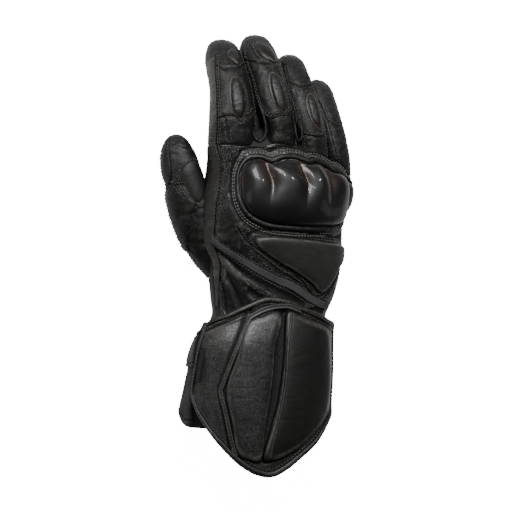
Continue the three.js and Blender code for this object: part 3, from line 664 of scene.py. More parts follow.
def palm_relief(around, along):
    """Soft creases of the palm, and a seam from the thumb across to the little finger's side."""
    point = body_point(HAND, around, along)
    height = wrinkles(point, (24, 17, 24), 0.4, 51)
    seam = line_distance(around, along, [(200, -30), (225, 6), (262, 22), (300, 30), (345, 34)])
    heel = line_distance(around, along, [(345, -22), (300, -14), (262, -20), (238, -44)])
    return height + groove(seam, 0.7, 0.9) + groove(heel, 0.7, 0.9)


upper, lower, relief = panel(
    on_hand,
    lambda along: (PALM_SEAM + 0.5 - 2.3 * ease(-along, 43, 49), 360 + LITTLE_SIDE_SEAM - 0.8 + 0 * along),
    lambda around: (WRIST_END + 0 * around, smooth(WEB_SEAM, 1, around)),
    palm_relief, (90, 90))
points, faces = closed_sheet(upper, lower)
make_piece("palm_panel", points, faces, palm_leather, "palm_leather", ["palm"], relief)

WEB_BULGE = 17.0
WEB_MIDDLE = np.array([4.0, 76.0, 33.0])
down = np.linspace(0, 1, 20)[:, None]
around = np.linspace(0, 360, 100, endpoint=False)[None, :]
seam_along = smooth(WEB_SEAM, 1, around) - 4


def web_dome(inset):
    """End of the hand inside the webs: the cross section at the seam, drawn in to a dome."""
    closing = np.maximum(1 - down**1.3, 0) ** (1 / 1.3)
    rim = lifted(on_hand, around + 0 * down, seam_along + 0 * down, 0 * around * down - inset)
    point = WEB_MIDDLE + (rim - WEB_MIDDLE) * closing[..., None]
    point[..., 1] = rim[..., 1] + (WEB_BULGE + 4 - inset) * down
    return point


def joined(parts):
    """Several sets of points and faces as one."""
    points, faces, start = [], [], 0
    for part_points, part_faces in parts:
        points.append(part_points)
        faces += [[corner + start for corner in face] for face in part_faces]
        start += len(part_points)
    return np.concatenate(points), faces


def gusset(middle, half):
    """Points and faces of the folded leather deep between two fingers: a closed ellipsoid."""
    tilt = np.linspace(-89, 89, 24)[:, None]
    turn = np.linspace(0, 360, 40, endpoint=False)[None, :]
    level, angle = np.radians(tilt), np.radians(turn)
    grid = np.stack([np.cos(level) * np.cos(angle), np.sin(level) + 0 * angle,
                     np.cos(level) * np.sin(angle)], -1)
    grid = grid * half + middle
    return grid.reshape(-1, 3), tube_faces(*grid.shape[:2])


webs = joined([
    closed_sheet(web_dome(1.2), web_dome(2.4), loop=True, pole=True),
    gusset((-12.5, 98, 29), (6.5, 26, 6)), gusset((18.8, 94, 27), (5, 26, 6)),
    gusset((43.0, 88, 23), (5, 24, 6)),
])
make_piece("finger_webs", *webs, palm_leather, "palm_leather")

# Fingers
# Each is a tube of leather sewn from a back, side walls and a front. It bends down to its fingertip, its
# root is tucked under the back of the hand, and its seams, folds and the pleats at the tip are pressed
# into it.
TIP_BLUNTNESS = 2.3
WEB_OVER_X = table([
    (-60, 84.4), (-47, 84.7), (-11.6, 84.7), (0.3, 86.2), (10, 84.7), (21.9, 80), (41.7, 76), (57.4, 70.8),
    (66, 62)])
DIGIT_DEGREE = 0.26   # millimetres to a degree round a finger
DIGIT_SHARE = 1.07    # millimetres to a hundredth of a finger's length
DIGIT_RATIO = DIGIT_DEGREE / DIGIT_SHARE
DIGIT_RINGS = 102
DIGIT_COLUMNS = 84


def digit_surface(line, roll, dome, pinch=(0, 30, 8)):
    """Surface of a finger over degrees around and hundredths along: a superellipse square to its line,
    turned by "roll" degrees, and closed by a blunt dome from the share "dome" of the length on. The pinch
    draws its thumb-side wall in: how far, at which hundredth, and over what spread."""
    length = np.concatenate([[0], np.cumsum(np.linalg.norm(np.diff(line[:, :3], axis=0), axis=1))])
    rows = np.column_stack([length / length[-1], line])
    turn = math.radians(roll)

    def middle(share):
        return np.stack([smooth(rows, column, share) for column in (1, 2, 3)], -1)

    def surface(around, along):
        share = np.broadcast_to(np.asarray(along, float),
                                np.broadcast_shapes(np.shape(around), np.shape(along))) / 100
        within = np.clip(share, 0.001, 0.999)
        forward = middle(within + 0.001) - middle(within - 0.001)
        forward /= np.linalg.norm(forward, axis=-1, keepdims=True)
        flat = np.cross(forward, [0, 0, 1.0])
        flat /= np.linalg.norm(flat, axis=-1, keepdims=True)
        side = flat * math.cos(turn) + np.cross(forward, flat) * math.sin(turn)
        up = np.cross(side, forward)
        past = np.maximum((share - dome) / (1 - dome), 0)
        closing = np.maximum(1 - past**TIP_BLUNTNESS, 0) ** (1 / TIP_BLUNTNESS)
        angle = np.radians(around)
        wide = smooth(rows, 4, share) * closing * signed_power(np.cos(angle), 0.8)
        high = smooth(rows, 5, share) * closing * signed_power(np.sin(angle), 0.8)
        drawn_in = pinch[0] * bell(share * 100 - pinch[1], pinch[2]) * np.maximum(-np.cos(angle), 0)
        point = middle(share) + side * (wide + drawn_in)[..., None] + up * high[..., None]
        point[..., 2] = np.maximum(point[..., 2], 0)
        return point

    return surface


def digit_distance(around, along, line):
    """Distance in millimetres on a finger from a line of (around, along), with the side as its sign."""
    u, v = around * DIGIT_DEGREE + 0 * along, along * DIGIT_SHARE + 0 * around
    return line_distance(u, v, np.array(line) * [DIGIT_DEGREE, DIGIT_SHARE])


def digit_relief(surface, seams, folds, pleats, seed, tucked=True):
    """Height of a finger's seams, of its folds at each (share, spread, depth), of the pleats at its tip and
    of its soft wrinkles. Where it is tucked, its root sinks under the back of the hand."""
    def relief(around, along):
        point = surface(around, along)
        on_top = ease(np.sin(np.radians(around)), -0.4, 0.3)
        height = wrinkles(point, (9, 6, 9), 0.3, seed)
        for at, spread, depth in folds:
            zone = bell(along - at, spread) * on_top
            height = height + zone * wrinkles(point, (11, 2.6, 8), depth, seed + 5)
        for seam in seams:
            height = height + groove(digit_distance(around, along, seam), 0.85, 0.75)
        tip = ease(along, 84, 97)
        height = height + tip * 0.45 * (np.abs(np.sin(np.radians(around) * pleats / 2)) ** 0.6 - 0.6)
        if tucked:
            past_web = point[..., 1] - smooth(WEB_OVER_X, 1, point[..., 0])
            height = height - 1.5 * (1 - ease(past_web, -2.5, 1.2))
        return np.clip(height, -2.6, 1.2)
    return relief


def make_digit(name, surface, relief, start=0.0, folds=None):
    """Tube of a finger, closed at its tip and open at its root, with its relief pressed into the outside.
    The finish follows the relief, or "folds" where that is given."""
    down = 1 - (1 - np.linspace(0, 1, DIGIT_RINGS)) ** 1.5
    along = (start + (99.9 - start) * down)[:, None]
    around = np.linspace(0, 360, DIGIT_COLUMNS, endpoint=False)[None, :]
    height = relief(around, along)
    upper = lifted(surface, around + 0 * along, along + 0 * around, height)
    upper[..., 2] = np.maximum(upper[..., 2], 0)
    lower = surface(around, along)
    middle = lower.mean(1, keepdims=True)
    shrink = 1 - LEATHER * 1.4 / np.maximum(np.linalg.norm(lower - middle, axis=-1, keepdims=True), 4.5)
    lower = middle + (lower - middle) * shrink
    points, faces = closed_sheet(upper, lower, loop=True, pole=True)
    if folds:
        height = folds(around, along)
    make_piece(name + "_leather", points, faces, finger_leather, "leather", [name], height)


finger_leather = leather_finish("finger_leather", (0.012, 0.0116, 0.0102), (0.05, 0.046, 0.038), 1.1,
                                (0.34, 0.5), 0.00026, coat=0.4)
on_index = digit_surface(FINGERS["index"], -4, 0.84)
on_middle = digit_surface(FINGERS["middle"], 4, 0.85, (5.0, 30, 11))
on_ring = digit_surface(FINGERS["ring"], 13, 0.84, (2.2, 33, 9))
on_little = digit_surface(FINGERS["little"], 24, 0.86)
INDEX_SEAMS = [
    [(126, 80), (144, 64), (146, 51), (143, 35), (142, 14)],
    [(44, 82), (34, 62), (32, 40), (34, 14)],
    [(200, 86), (206, 60), (206, 30), (204, 12)],
    [(138, 37), (120, 38.5), (103, 39), (64, 39), (40, 43)],
    [(127, 40), (114, 35), (104, 24)],
    [(138, 73), (110, 68), (70, 68), (44, 72)],
]
MIDDLE_SEAMS = [
    [(160, 88), (172, 78), (166, 62), (166, 51), (153, 41), (130, 37), (92, 38), (63, 38), (40, 41)],
    [(32, 84), (26, 62), (24, 41), (26, 14)],
    [(166, 51), (170, 34), (170, 14)],
    [(172, 78), (150, 74), (118, 71), (80, 69), (30, 72)],
    [(130, 84), (112, 72), (84, 70)],
]
RING_SEAMS = [
    [(62, 78), (50, 60), (38, 48), (36, 33), (36, 14)],
    [(140, 82), (150, 62), (152, 40), (152, 14)],
    [(146, 36), (110, 34), (70, 33), (38, 36)],
    [(142, 70), (100, 66), (58, 68)],
]
LITTLE_SEAMS = [
    [(161, 89), (142, 78), (130, 64), (129, 50), (115, 37), (88, 28)],
    [(40, 88), (30, 66), (26, 48), (28, 30)],
    [(128, 66), (90, 62), (40, 64)],
]
index_relief = digit_relief(on_index, INDEX_SEAMS, [(67, 5, 0.9), (33, 5, 0.8), (24, 4, 0.5)], 14, 101)
middle_relief = digit_relief(on_middle, MIDDLE_SEAMS, [(65, 5, 0.9), (31, 6, 0.8)], 14, 111)
ring_relief = digit_relief(on_ring, RING_SEAMS, [(66, 5, 0.9), (30, 5, 0.8)], 12, 121)
little_relief = digit_relief(on_little, LITTLE_SEAMS, [(66, 6, 0.7), (50, 6, 0.6)], 12, 131)
make_digit("index_finger", on_index, index_relief)
make_digit("middle_finger", on_middle, middle_relief)
make_digit("ring_finger", on_ring, ring_relief)
make_digit("little_finger", on_little, little_relief, start=20)

# Thumb
# It leans out from the side of the hand. Its skin gathers in deep pleats that run into the tip, and folds
# across where it meets the hand.
THUMB = np.array([
    (-32.5, -6, 20.0, 18.0, 12.5), (-48.3, 14, 18.5, 18.0, 13.8), (-58.0, 34, 17.5, 17.0, 14.2),
    (-64.1, 54, 16.2, 15.6, 14.2), (-68.2, 72, 15.0, 14.6, 13.6), (-71.3, 93, 11.2, 12.6, 11.8)])
on_thumb = digit_surface(THUMB, -25, 0.76)
THUMB_SEAMS = [
    [(105, 97), (106, 82), (112, 70), (140, 64)],
    [(150, 66), (128, 67), (104, 65), (89, 64)],
    [(172, 92), (176, 70), (178, 40), (176, 10)],
    [(30, 92), (10, 78)],
]
THUMB_PANEL = [(86, 66), (80, 56), (74, 49), (96, 40), (122, 30), (140, 23)]
thumb_folds = digit_relief(on_thumb, THUMB_SEAMS, [(88, 7, 0.8), (44, 7, 0.7), (24, 9, 0.9)], 18, 141,
                           False)


def thumb_relief(around, along):
    """The thumb's folds, its outer panel raised over the seam across it, and its waist at the joint."""
    raised = ease(digit_distance(around, along, THUMB_PANEL), -0.6, 0.6)
    raised = raised * ease(along, 22, 24) * (1 - ease(along, 58, 66))
    waist = bell(along - 66, 5.0) * ease(-np.cos(np.radians(around)), 0.1, 0.8)
    return thumb_folds(around, along) + 1.2 * raised - 1.3 * waist


make_digit("thumb", on_thumb, thumb_relief, folds=thumb_folds)

# Padded pieces on the fingers
# Leaf shapes of leather over foam, on the joints and the fingertips, and a larger flat patch on the thumb.
# All but the pad on the index finger's tip are stitched down round their edges.


def curve_through(line, count, closed=True):
    """Centripetal Catmull-Rom curve through points, cut into parts of equal length."""
    line = np.array(line, float)
    if closed:
        line = np.concatenate([line[-1:], line, line[:2]])
    else:
        line = np.concatenate([2 * line[:1] - line[1:2], line, 2 * line[-1:] - line[-2:-1]])
    p0, p1, p2, p3 = line[:-3], line[1:-2], line[2:-1], line[3:]
    d0, d1, d2 = (np.maximum(np.linalg.norm(b - a, axis=1, keepdims=True), 1e-6) ** 0.5
                  for a, b in ((p0, p1), (p1, p2), (p2, p3)))
    m1 = d1 * ((p1 - p0) / d0 - (p2 - p0) / (d0 + d1) + (p2 - p1) / d1)
    m2 = d1 * ((p2 - p1) / d1 - (p3 - p1) / (d1 + d2) + (p3 - p2) / d2)
    t = np.linspace(0, 1, 25)[:-1, None, None]
    fine = hermite(t, p1, p2, m1, m2)
    fine = np.concatenate([fine.transpose(1, 0, 2).reshape(-1, line.shape[1]), p2[-1:]])
    reach = np.concatenate([[0], np.cumsum(np.linalg.norm(np.diff(fine, axis=0), axis=1))])
    stops = np.linspace(0, reach[-1], count + 1)[:-1] if closed else np.linspace(0, reach[-1], count)
    return np.stack([np.interp(stops, reach, fine[:, i]) for i in range(line.shape[1])], 1)


def leaf(around, spread, along, reach, lean=0.0):
    """Outline of a leaf with two pointed ends, from its middle and its half sizes."""
    turn = np.linspace(0, 2 * np.pi, 16, endpoint=False)
    across = signed_power(np.cos(turn), 1.35)
    return np.stack([around + spread * across + lean * np.sin(turn), along + reach * np.sin(turn)], 1)


def scaled_curve(line, degree, count, out=0.0, closed=True):
    """Curve through (around, along) points, moved outwards by "out", in the units of along."""
    flat = curve_through(np.array(line, float) * [degree, 1], count, closed)
    if closed:
        way = np.roll(flat, -1, 0) - np.roll(flat, 1, 0)
        area = (flat[:, 0] * np.roll(flat[:, 1], -1) - np.roll(flat[:, 0], -1) * flat[:, 1]).sum()
        out = out if area > 0 else -out
    else:
        way = np.gradient(flat, axis=0)
    way = way / np.linalg.norm(way, axis=1, keepdims=True)
    flat = flat + out * np.stack([way[:, 1], -way[:, 0]], 1)
    return flat[:, 0] / degree, flat[:, 1]


def crowned_pad(surface, line, degree, crown, rings, columns):
    """Closed pad inside a line: rings from the line in to its middle, lifted by crown(out, around, along),
    where out is the share of the way from the middle to the line. The shares and the places come with it."""
    around, along = scaled_curve(line, degree, columns)
    out = 1 - (np.linspace(0, 1, rings) ** 1.35)[:, None] * 0.985 + 0 * around
    around = around.mean() + (around - around.mean()) * out
    along = along.mean() + (along - along.mean()) * out
    pad = laid_on(surface, around, along, crown(out, around, along), loop=True, pole=True)
    return pad, out, (around, along)


def rubbed_edge(out, depth, place, width):
    """Relief value that marks the edge of a pad as a crest, so that it looks rubbed."""
    return depth * bell(out - place, width)


def ridge_crown(height, seed, surface, narrow):
    """Height of a joint pad: a low swelling out to its rim, and a narrow ridge of foam down its middle."""
    def crown(out, around, along):
        middle = (along.max() + along.min()) / 2
        across = (around - around.mean()) / ((around.max() - around.min()) / 2) / narrow
        up = (along - middle) / ((along.max() - along.min()) / 2)
        ridge = np.maximum(1 - (across**2 + up**2) / 0.8, 0)
        swell = 0.2 + 0.7 * np.sqrt(np.maximum(1 - out**3, 0))
        folds = wrinkles(surface(around, along), (8, 5, 8), 0.2, seed)
        return swell + (height - 0.9) * ridge**0.45 + folds * (1 - out**8)
    return crown


def pad_crown(height, seed, surface, rim=0.25, fullness=4.0, crease=0.15, size=(9, 7, 9)):
    """Height of a stuffed pad: full across its middle and falling to its stitched-down rim."""
    def crown(out, around, along):
        swell = np.maximum(1 - out**fullness, 0) ** 0.55
        folds = wrinkles(surface(around, along), size, crease, seed)
        return rim + (height - rim) * swell + folds * (1 - out**8)
    return crown


pad_leather = leather_finish("pad_leather", (0.016, 0.0147, 0.0126), (0.085, 0.06, 0.043), 0.8,
                             (0.34, 0.48), coat=0.6)
patch_leather = leather_finish("patch_leather", (0.017, 0.016, 0.014), (0.03, 0.028, 0.024), 0.6,
                               (0.42, 0.58), coat=0.5)
DIGIT_PADS = [
    ("index_joint_pad", on_index, leaf(87, 19, 49.5, 13.5, 3), 3.0, pad_leather),
    ("index_tip_pad", on_index, leaf(76, 16, 76.5, 6.5, 3), 2.1, pad_leather),
    ("middle_joint_pad", on_middle, leaf(86, 22, 51, 13, 4), 3.0, pad_leather),
    ("middle_tip_pad", on_middle, leaf(88, 22, 77.5, 8, 14), 2.1, pad_leather),
    ("ring_joint_pad", on_ring, leaf(82, 23, 49, 13, 3), 2.8, pad_leather),
    ("thumb_patch", on_thumb, [(86, 73), (60, 77.5), (32, 78), (8, 74.5), (-3, 68), (12, 60), (40, 52.5),
                               (60, 49.5), (76, 51), (86, 61)], 1.6, patch_leather),
]
for number, (name, surface, line, height, finish) in enumerate(DIGIT_PADS):
    crown = pad_crown(height, 151 + number, surface)
    if "joint" in name:
        crown = ridge_crown(height, 151 + number, surface, 0.75)
    pad, out, _ = crowned_pad(surface, line, DIGIT_RATIO, crown, rings=36, columns=100)
    slot = "smooth_leather" if name == "thumb_patch" else "leather"
    make_piece(name + "_cover", *pad, finish, slot, [name], rubbed_edge(out, 0.7, 0.93, 0.05))

# Knuckle guard
# One moulded shell, black and highly polished, with a bump over each knuckle. Grooves part the bumps at the
# front and fade out towards the wrist. Foam under it lifts it clear of the back of the hand.
GUARD_HEIGHT = 9.5
GUARD_RIM = 1.4
GROOVE_PLACES = [12, 57, 79, 99.5, 125]
GROOVE_DEPTH = 4.6
GROOVE_ROUNDING = 0.014


def guard_bumps(around, along):
    """1 on the crest of each bump and 0 in the grooves between them, which lean with the fingers."""
    leaning = around - 5 * ease(along, 52, 72)
    phase = np.interp(leaning, GROOVE_PLACES, [4, 3, 2, 1, 0])
    return ((np.sin(np.pi * phase) ** 2 + GROOVE_ROUNDING) / (1 + GROOVE_ROUNDING)) ** 0.36


def guard_crown(out, around, along):
    """Height of the guard: a steep rim, a full dome, and the grooves cut into it at the front."""
    dome = GUARD_RIM + (GUARD_HEIGHT - GUARD_RIM) * np.maximum(1 - out**2.5, 0) ** 0.6
    front = bell(along - 59, 19)
    bumps = guard_bumps(around, along)
    from_rim = np.minimum(1, 3.5 * (1 - out) + 0.35)
    return dome + front * bumps - GROOVE_DEPTH * front * (1 - bumps) * from_rim


guard, out, places = crowned_pad(on_hand, GUARD_OUTLINE, 1.0, guard_crown, rings=66, columns=240)
guard_shell, tree, shader = new_material("polished_shell")
place = add_node(tree, "ShaderNodeTexCoord").outputs["Object"]
depth = add_node(tree, "ShaderNodeAttribute", attribute_name="relief", attribute_type="GEOMETRY")
# Painted reflection: where the relief value is low, in the grooves at the front, the base colour turns from
# near black to a lighter reddish brown.
groove_reflection_tint = colour_mix(tree, remap(tree, depth.outputs["Fac"], -0.35, -1.6), (0.0065, 0.0065, 0.0062),
                   (0.02, 0.0085, 0.006))
tree.links.new(groove_reflection_tint, shader.inputs["Base Color"])
smears = add_node(tree, "ShaderNodeTexNoise", {"Vector": place, "Scale": 70.0, "Detail": 6.0})
tree.links.new(remap(tree, smears.outputs["Fac"], 0.35, 0.75, 0.4, 0.52), shader.inputs["Roughness"])
ripple = add_node(tree, "ShaderNodeTexNoise", {"Vector": place, "Scale": 120.0, "Detail": 2.0})
bumps = add_node(tree, "ShaderNodeBump",
                 {"Height": ripple.outputs["Fac"], "Distance": 0.00012, "Strength": 0.5})
tree.links.new(bumps.outputs["Normal"], shader.inputs["Normal"])
shader.inputs["Specular IOR Level"].default_value = 0.38
shader.inputs["Coat Weight"].default_value = 0.3
shader.inputs["Coat Roughness"].default_value = 0.08
# Relief value for the painted reddish-brown reflection: deepest in the grooves between the bumps, towards
# the front.
painted_groove_reflection = -2.2 * ease(places[1], 40, 60) * (1 - guard_bumps(*places))
make_piece("knuckle_guard_shell", *guard, guard_shell, "hard_shell", ["knuckle_guard"], painted_groove_reflection)

# Border of the guard
# A stuffed leather roll round the guard, with a double row of stitches outside it.
BORDER = (0.8, 5.0, 1.9)  # inner and outer distance from the guard's outline, height


def band(surface, line, start, end, height, columns, crease):
    """Closed ring that follows a line between two distances outside it, with a rounded, creased back."""
    share = crowded(14, 0.5)[:, None]
    around, along = between([scaled_curve(line, 1.0, columns, out) for out in (start, end)], share)
    lift = height * np.sqrt(np.maximum(1 - (2 * share - 1) ** 2, 0)) * 0.85 + 0.15 * height + 0 * around
    lift = lift + wrinkles(surface(around, along), *crease) * np.sin(np.pi * share)
    return laid_on(surface, around, along, lift, loop=True), lift


border_leather = leather_finish("border_leather", (0.02, 0.0195, 0.0175), (0.055, 0.052, 0.045), 0.8,
                                (0.32, 0.5))
roll, lift = band(on_hand, GUARD_OUTLINE, *BORDER, columns=300, crease=((8, 8, 8), 0.35, 161))
make_piece("guard_border_roll", *roll, border_leather, "leather", ["guard_border"], lift - 1.9)

# Pad on the back of the hand
# A three-cornered foam pad under smooth, matt leather, with a sharp stitched edge.
smooth_leather = leather_finish("smooth_leather", (0.056, 0.055, 0.05), (0.11, 0.105, 0.092), 0.5,
                                (0.44, 0.56), bump=0.00005, coat=0.6)
crown = pad_crown(3.4, 171, on_hand, rim=0.6, fullness=9.0, crease=0.12)
pad, out, _ = crowned_pad(on_hand, BACK_PAD, 1.0, crown, rings=44, columns=200)
mark = rubbed_edge(out, 0.8, 0.94, 0.03)
make_piece("back_pad_cover", *pad, smooth_leather, "smooth_leather", ["back_pad"], mark)

# Stripe
# A narrow dark grey strip sewn flat across the back, from the thumb's side to the little finger's side.
STRIPE_UPPER = table([(153, 15), (130, 1.3), (110, -8.8), (91, -18), (72, -28), (55, -33.5), (34, -36.8)])
STRIPE_WIDTH = 5.2
stripe_trim = leather_finish("stripe_trim", (0.13, 0.13, 0.127), (0.2, 0.2, 0.195), 0.45, (0.55, 0.7),
                             bump=0.00004, coat=0.2)


def flat_strip(surface, line, half, thick, dip=0.0, edge=0.9):
    """Closed strip laid along a line, with rounded edges and a shallow dip along its middle."""
    share = crowded(12, 0.6)[:, None]
    sides = [scaled_curve(line, 1.0, 300, side * half, closed=False) for side in (-1, 1)]
    around, along = between(sides, share)
    lift = thick + rolled(np.minimum(share, 1 - share) * 2 * half, edge) + 0 * around
    lift = lift - dip * bell((share - 0.5) * 2 * half, 0.6)
    return laid_on(surface, around, along, lift), lift


strip, lift = flat_strip(on_hand, STRIPE_LINE, STRIPE_WIDTH / 2, 1.4, edge=0.4)
make_piece("stripe_strip", *strip, stripe_trim, "grey_trim", ["accent_stripe"], 0 * lift)

# Cuff
# The gauntlet's back is one stiff padded panel that narrows to a rounded lip over the forearm. The palm
# side closes it with a shorter panel, which stands away from the wrist as a flap on the thumb's side.
CUFF_LEATHER = 2.6
CUFF_PALM_SQUARENESS = 3.2
CUFF = table([
    (-25, 0.0, 48.0, 24.0, 50.5, 1.5, 0), (-38, -0.2, 51.0, 24.0, 52.5, 0.8, 0),
    (-50, -1.4, 53.0, 25.0, 54.5, 0.3, 0), (-66, -5.0, 55.5, 26.0, 57.5, -1.0, 0),
    (-90, -6.8, 56.5, 27.0, 60.0, -1.0, 0), (-110, -7.8, 56.3, 27.5, 61.5, -1.0, 0),
    (-130, -8.4, 56.0, 28.0, 62.0, -1.0, 0), (-150, -9.0, 55.7, 28.0, 62.0, -1.0, 0),
    (-172, -9.4, 55.4, 28.0, 61.0, -1.0, 0)])
CUFF_TOP_EDGE = [(162, -51), (134, -42.5), (114, -35.5), (98, -30.5), (86, -32), (68, -39), (36, -48),
                 (8, -54)]
CUFF_LIP = [
    (174, -106), (165, -118), (147, -133), (129, -147), (113, -159), (99, -166.5), (90, -168.3), (82, -164),
    (69, -155), (50, -143), (32, -130), (8, -118)]
CUFF_THUMB_EDGE = table([(-51, 162), (-68, 165), (-84, 169), (-106, 174)])
CUFF_LITTLE_EDGE = 8
TRIM_LINE = [(113.2, -44), (117.2, -68.7), (125, -87.8), (131.8, -101), (127, -118.5), (122, -136),
             (116.5, -155)]
CUFF_CHANNEL = [(87.3, -44), (87.4, -72), (89, -101), (93, -130), (96, -155)]


def on_cuff(around, along):
    """The cuff's surface."""
    return body_point(CUFF, around, along, CUFF_PALM_SQUARENESS)


def cuff_relief(around, along):
    """Furrows beside the trim, the channel between the pads, a seam inside the top edge, and slow swells."""
    point = body_point(CUFF, around, along)
    height = 0.5 * noise(point, (22, 30, 22), 201) + wrinkles(point, (16, 12, 16), 0.12, 203)
    trim = np.abs(line_distance(around, along, TRIM_LINE))
    height = height - 2.0 * bell(trim - 3.1, 1.0)
    channel = np.abs(line_distance(around, along, CUFF_CHANNEL))
    height = height - 2.2 * np.exp(-((channel / 3.0) ** 4))
    inside = line_distance(around, along, [(a, b - 7.2) for a, b in CUFF_TOP_EDGE])
    return height + groove(inside, 0.8, 0.9)


cuff_leather = leather_finish("cuff_leather", (0.036, 0.0357, 0.033), (0.09, 0.087, 0.079), 1.3,
                              (0.24, 0.4), 0.00036, coat=0.95)
upper, lower, relief = panel(
    on_cuff,
    lambda along: (CUFF_LITTLE_EDGE + 0 * along, smooth(CUFF_THUMB_EDGE, 1, along)),
    lambda around: (smooth(table(CUFF_LIP), 1, around), smooth(table(CUFF_TOP_EDGE), 1, around)),
    cuff_relief, (168, 144), thickness=CUFF_LEATHER)
# Painted shade: the relief value is lowered towards the lip, darkening the bottom of the cuff; the surface
# itself is not moved.
relief = relief - 0.6 * ease(-upper[..., 1], 125, 150)
points, faces = closed_sheet(upper, lower)
make_piece("cuff_back_panel", points, faces, cuff_leather, "leather", ["cuff_back"], relief)

FLAP_OUT = table([(-50, -8), (-62, -5.5), (-76, -1.5), (-86, 0), (-105, 3.5), (-126, 7), (-131, 7.5)])
FLAP_START = table([(-131, 148), (-118, 158), (-106, 167), (-84, 162), (-68, 158), (-51, 155)])
FLAP_FROM = 172
FLAP_REACH = 70


def flap_end(around):
    """Where the flap's free end lies: further along the forearm on the thumb's side."""
    return -131 + 11 * ease(around, 176, 203)


def on_flap(around, along):
    """The palm side of the cuff: the cross section, pushed out in a curve where the flap stands off."""
    turn = np.clip((around - FLAP_FROM) / FLAP_REACH, 0, 1)
    point = lifted(on_cuff, around, along, smooth(FLAP_OUT, 1, along) * np.sin(np.pi * turn))
    point[..., 2] = np.maximum(point[..., 2], 0)
    return point


def flap_relief(around, along):
    """Hem along the free end, and soft folds."""
    point = body_point(CUFF, around, along)
    hem = groove(along - flap_end(around) - 5.5, 0.8, 0.8)
    under = 2.2 * (1 - ease(around - smooth(CUFF_THUMB_EDGE, 1, along), -1, 2.5))
    return hem - under + wrinkles(point, (20, 24, 20), 0.3, 211) + 0.5 * noise(point, (20, 30, 20), 213)


upper, lower, relief = panel(
    on_flap,
    lambda along: (smooth(FLAP_START, 1, along), 360 + CUFF_LITTLE_EDGE + 4 + 0 * along),
    lambda around: (flap_end(around), -50 + 0 * around),
    flap_relief, (76, 120), thickness=CUFF_LEATHER)
upper[..., 2] = np.maximum(upper[..., 2], 0)
lower[..., 2] = np.maximum(lower[..., 2], CUFF_LEATHER * 0.9)
points, faces = closed_sheet(upper, lower)
make_piece("cuff_palm_panel", points, faces, palm_leather, "palm_leather", ["cuff_palm"], relief)

# Binding of the cuff
# A strip of leather folded over the whole edge of the back panel and stitched through.
BINDING = (-5.0, -0.6, 1.9)  # inner and outer distance from the cuff's edge, height
PERIMETER = CUFF_TOP_EDGE + [(8, -76), (8, -98)] + CUFF_LIP[::-1] + [(169, -84), (165, -68)]
hem, lift = band(on_cuff, PERIMETER, *BINDING, columns=420, crease=((7, 7, 7), 0.3, 221))
make_piece("cuff_binding_strip", *hem, border_leather, "leather", ["cuff_binding"], lift - 1.5)

# Pads of the cuff
# Two long foam pads side by side with a deep channel between them. The inner one is grained leather, the
# outer one smooth leather.
PAD_INNER = [
    (112, -49.5), (100, -45), (90.2, -42.3), (90.0, -71), (91.1, -100), (94.6, -129), (97.9, -156),
    (106, -155), (115, -150), (121, -127), (126.5, -102), (117.5, -75)]
PAD_OUTER = [
    (84.7, -42.3), (70, -47), (50, -52), (41, -55), (36, -60), (33.5, -75), (33, -95), (35, -112),
    (41, -124), (60, -138), (79, -151), (94.4, -156), (91.2, -130), (87.6, -103), (85.2, -72)]
cuff_smooth_leather = leather_finish("cuff_smooth_leather", (0.014, 0.0136, 0.0115), (0.07, 0.067, 0.06),
                                     0.5, (0.4, 0.52), bump=0.00005, coat=0.6)
for name, line, finish, slot, fullness, seed in (
        ("cuff_pad_inner", PAD_INNER, cuff_leather, "leather", 7.0, 231),
        ("cuff_pad_outer", PAD_OUTER, cuff_smooth_leather, "smooth_leather", 9.0, 241)):
    crown = pad_crown(3.9, seed, on_cuff, rim=0.3, fullness=fullness, crease=0.13, size=(34, 8, 34))
    pad, out, _ = crowned_pad(on_cuff, line, 1.0, crown, rings=48, columns=230)
    make_piece(name + "_cover", *pad, finish, slot, [name], rubbed_edge(out, 0.8, 0.93, 0.035))

# Closing strap and label
# The strap comes round from the palm side and closes the cuff at the wrist. A small woven tab is sewn to
# the back panel beside it.
STRAP = {"along": -71, "half": 14, "from": 171, "to": 228, "thick": 1.6, "rounded": 12}
length = np.linspace(0, 1, 120)[:, None]
across = crowded(40)[None, :]
around = STRAP["from"] + (STRAP["to"] - STRAP["from"]) * length + 0 * across
past = np.maximum(1 - (STRAP["to"] - around) / STRAP["rounded"], 0)
width = STRAP["half"] * np.sqrt(np.maximum(1 - past**2, 0.15))
along = STRAP["along"] + width * (2 * across - 1)
side = np.minimum(across, 1 - across) * 2 * width
lift = STRAP["thick"] + rolled(side, 1.1) + groove(side - 3.2, 0.5, 0.7)
lift = lift + rolled((1 - length) * 50 + 0 * across, 1.0)
strap = laid_on(on_flap, around, along, lift)
make_piece("closing_strap", *strap, border_leather, "leather", ["closure_strap"], lift - 2.3)

LABEL_ENDS = [(155.5, -69.5), (162, -96)]
LABEL_WIDTH = 6.4
LABEL_LENGTH = 27
tab_weave, tree, shader = new_material("tab_weave")
place = add_node(tree, "ShaderNodeTexCoord").outputs["Object"]
ribs = add_node(tree, "ShaderNodeTexWave", {"Vector": place, "Scale": 520.0, "Distortion": 0.6},
                bands_direction="Y")
cross = add_node(tree, "ShaderNodeTexWave", {"Vector": place, "Scale": 700.0, "Distortion": 0.6},
                 bands_direction="X")
weave = math_of(tree, "MULTIPLY", ribs.outputs["Fac"], cross.outputs["Fac"])
yarn = colour_mix(tree, weave, (0.003, 0.003, 0.003), (0.02, 0.02, 0.02))
tree.links.new(yarn, shader.inputs["Base Color"])
bumps = add_node(tree, "ShaderNodeBump", {"Height": weave, "Distance": 0.0002})
tree.links.new(bumps.outputs["Normal"], shader.inputs["Normal"])
shader.inputs["Roughness"].default_value = 0.8
length = crowded(60, 0.6)[:, None]
across = crowded(24)[None, :]
around, along = between(LABEL_ENDS, length)
around = around - LABEL_WIDTH * (across - 0.5)
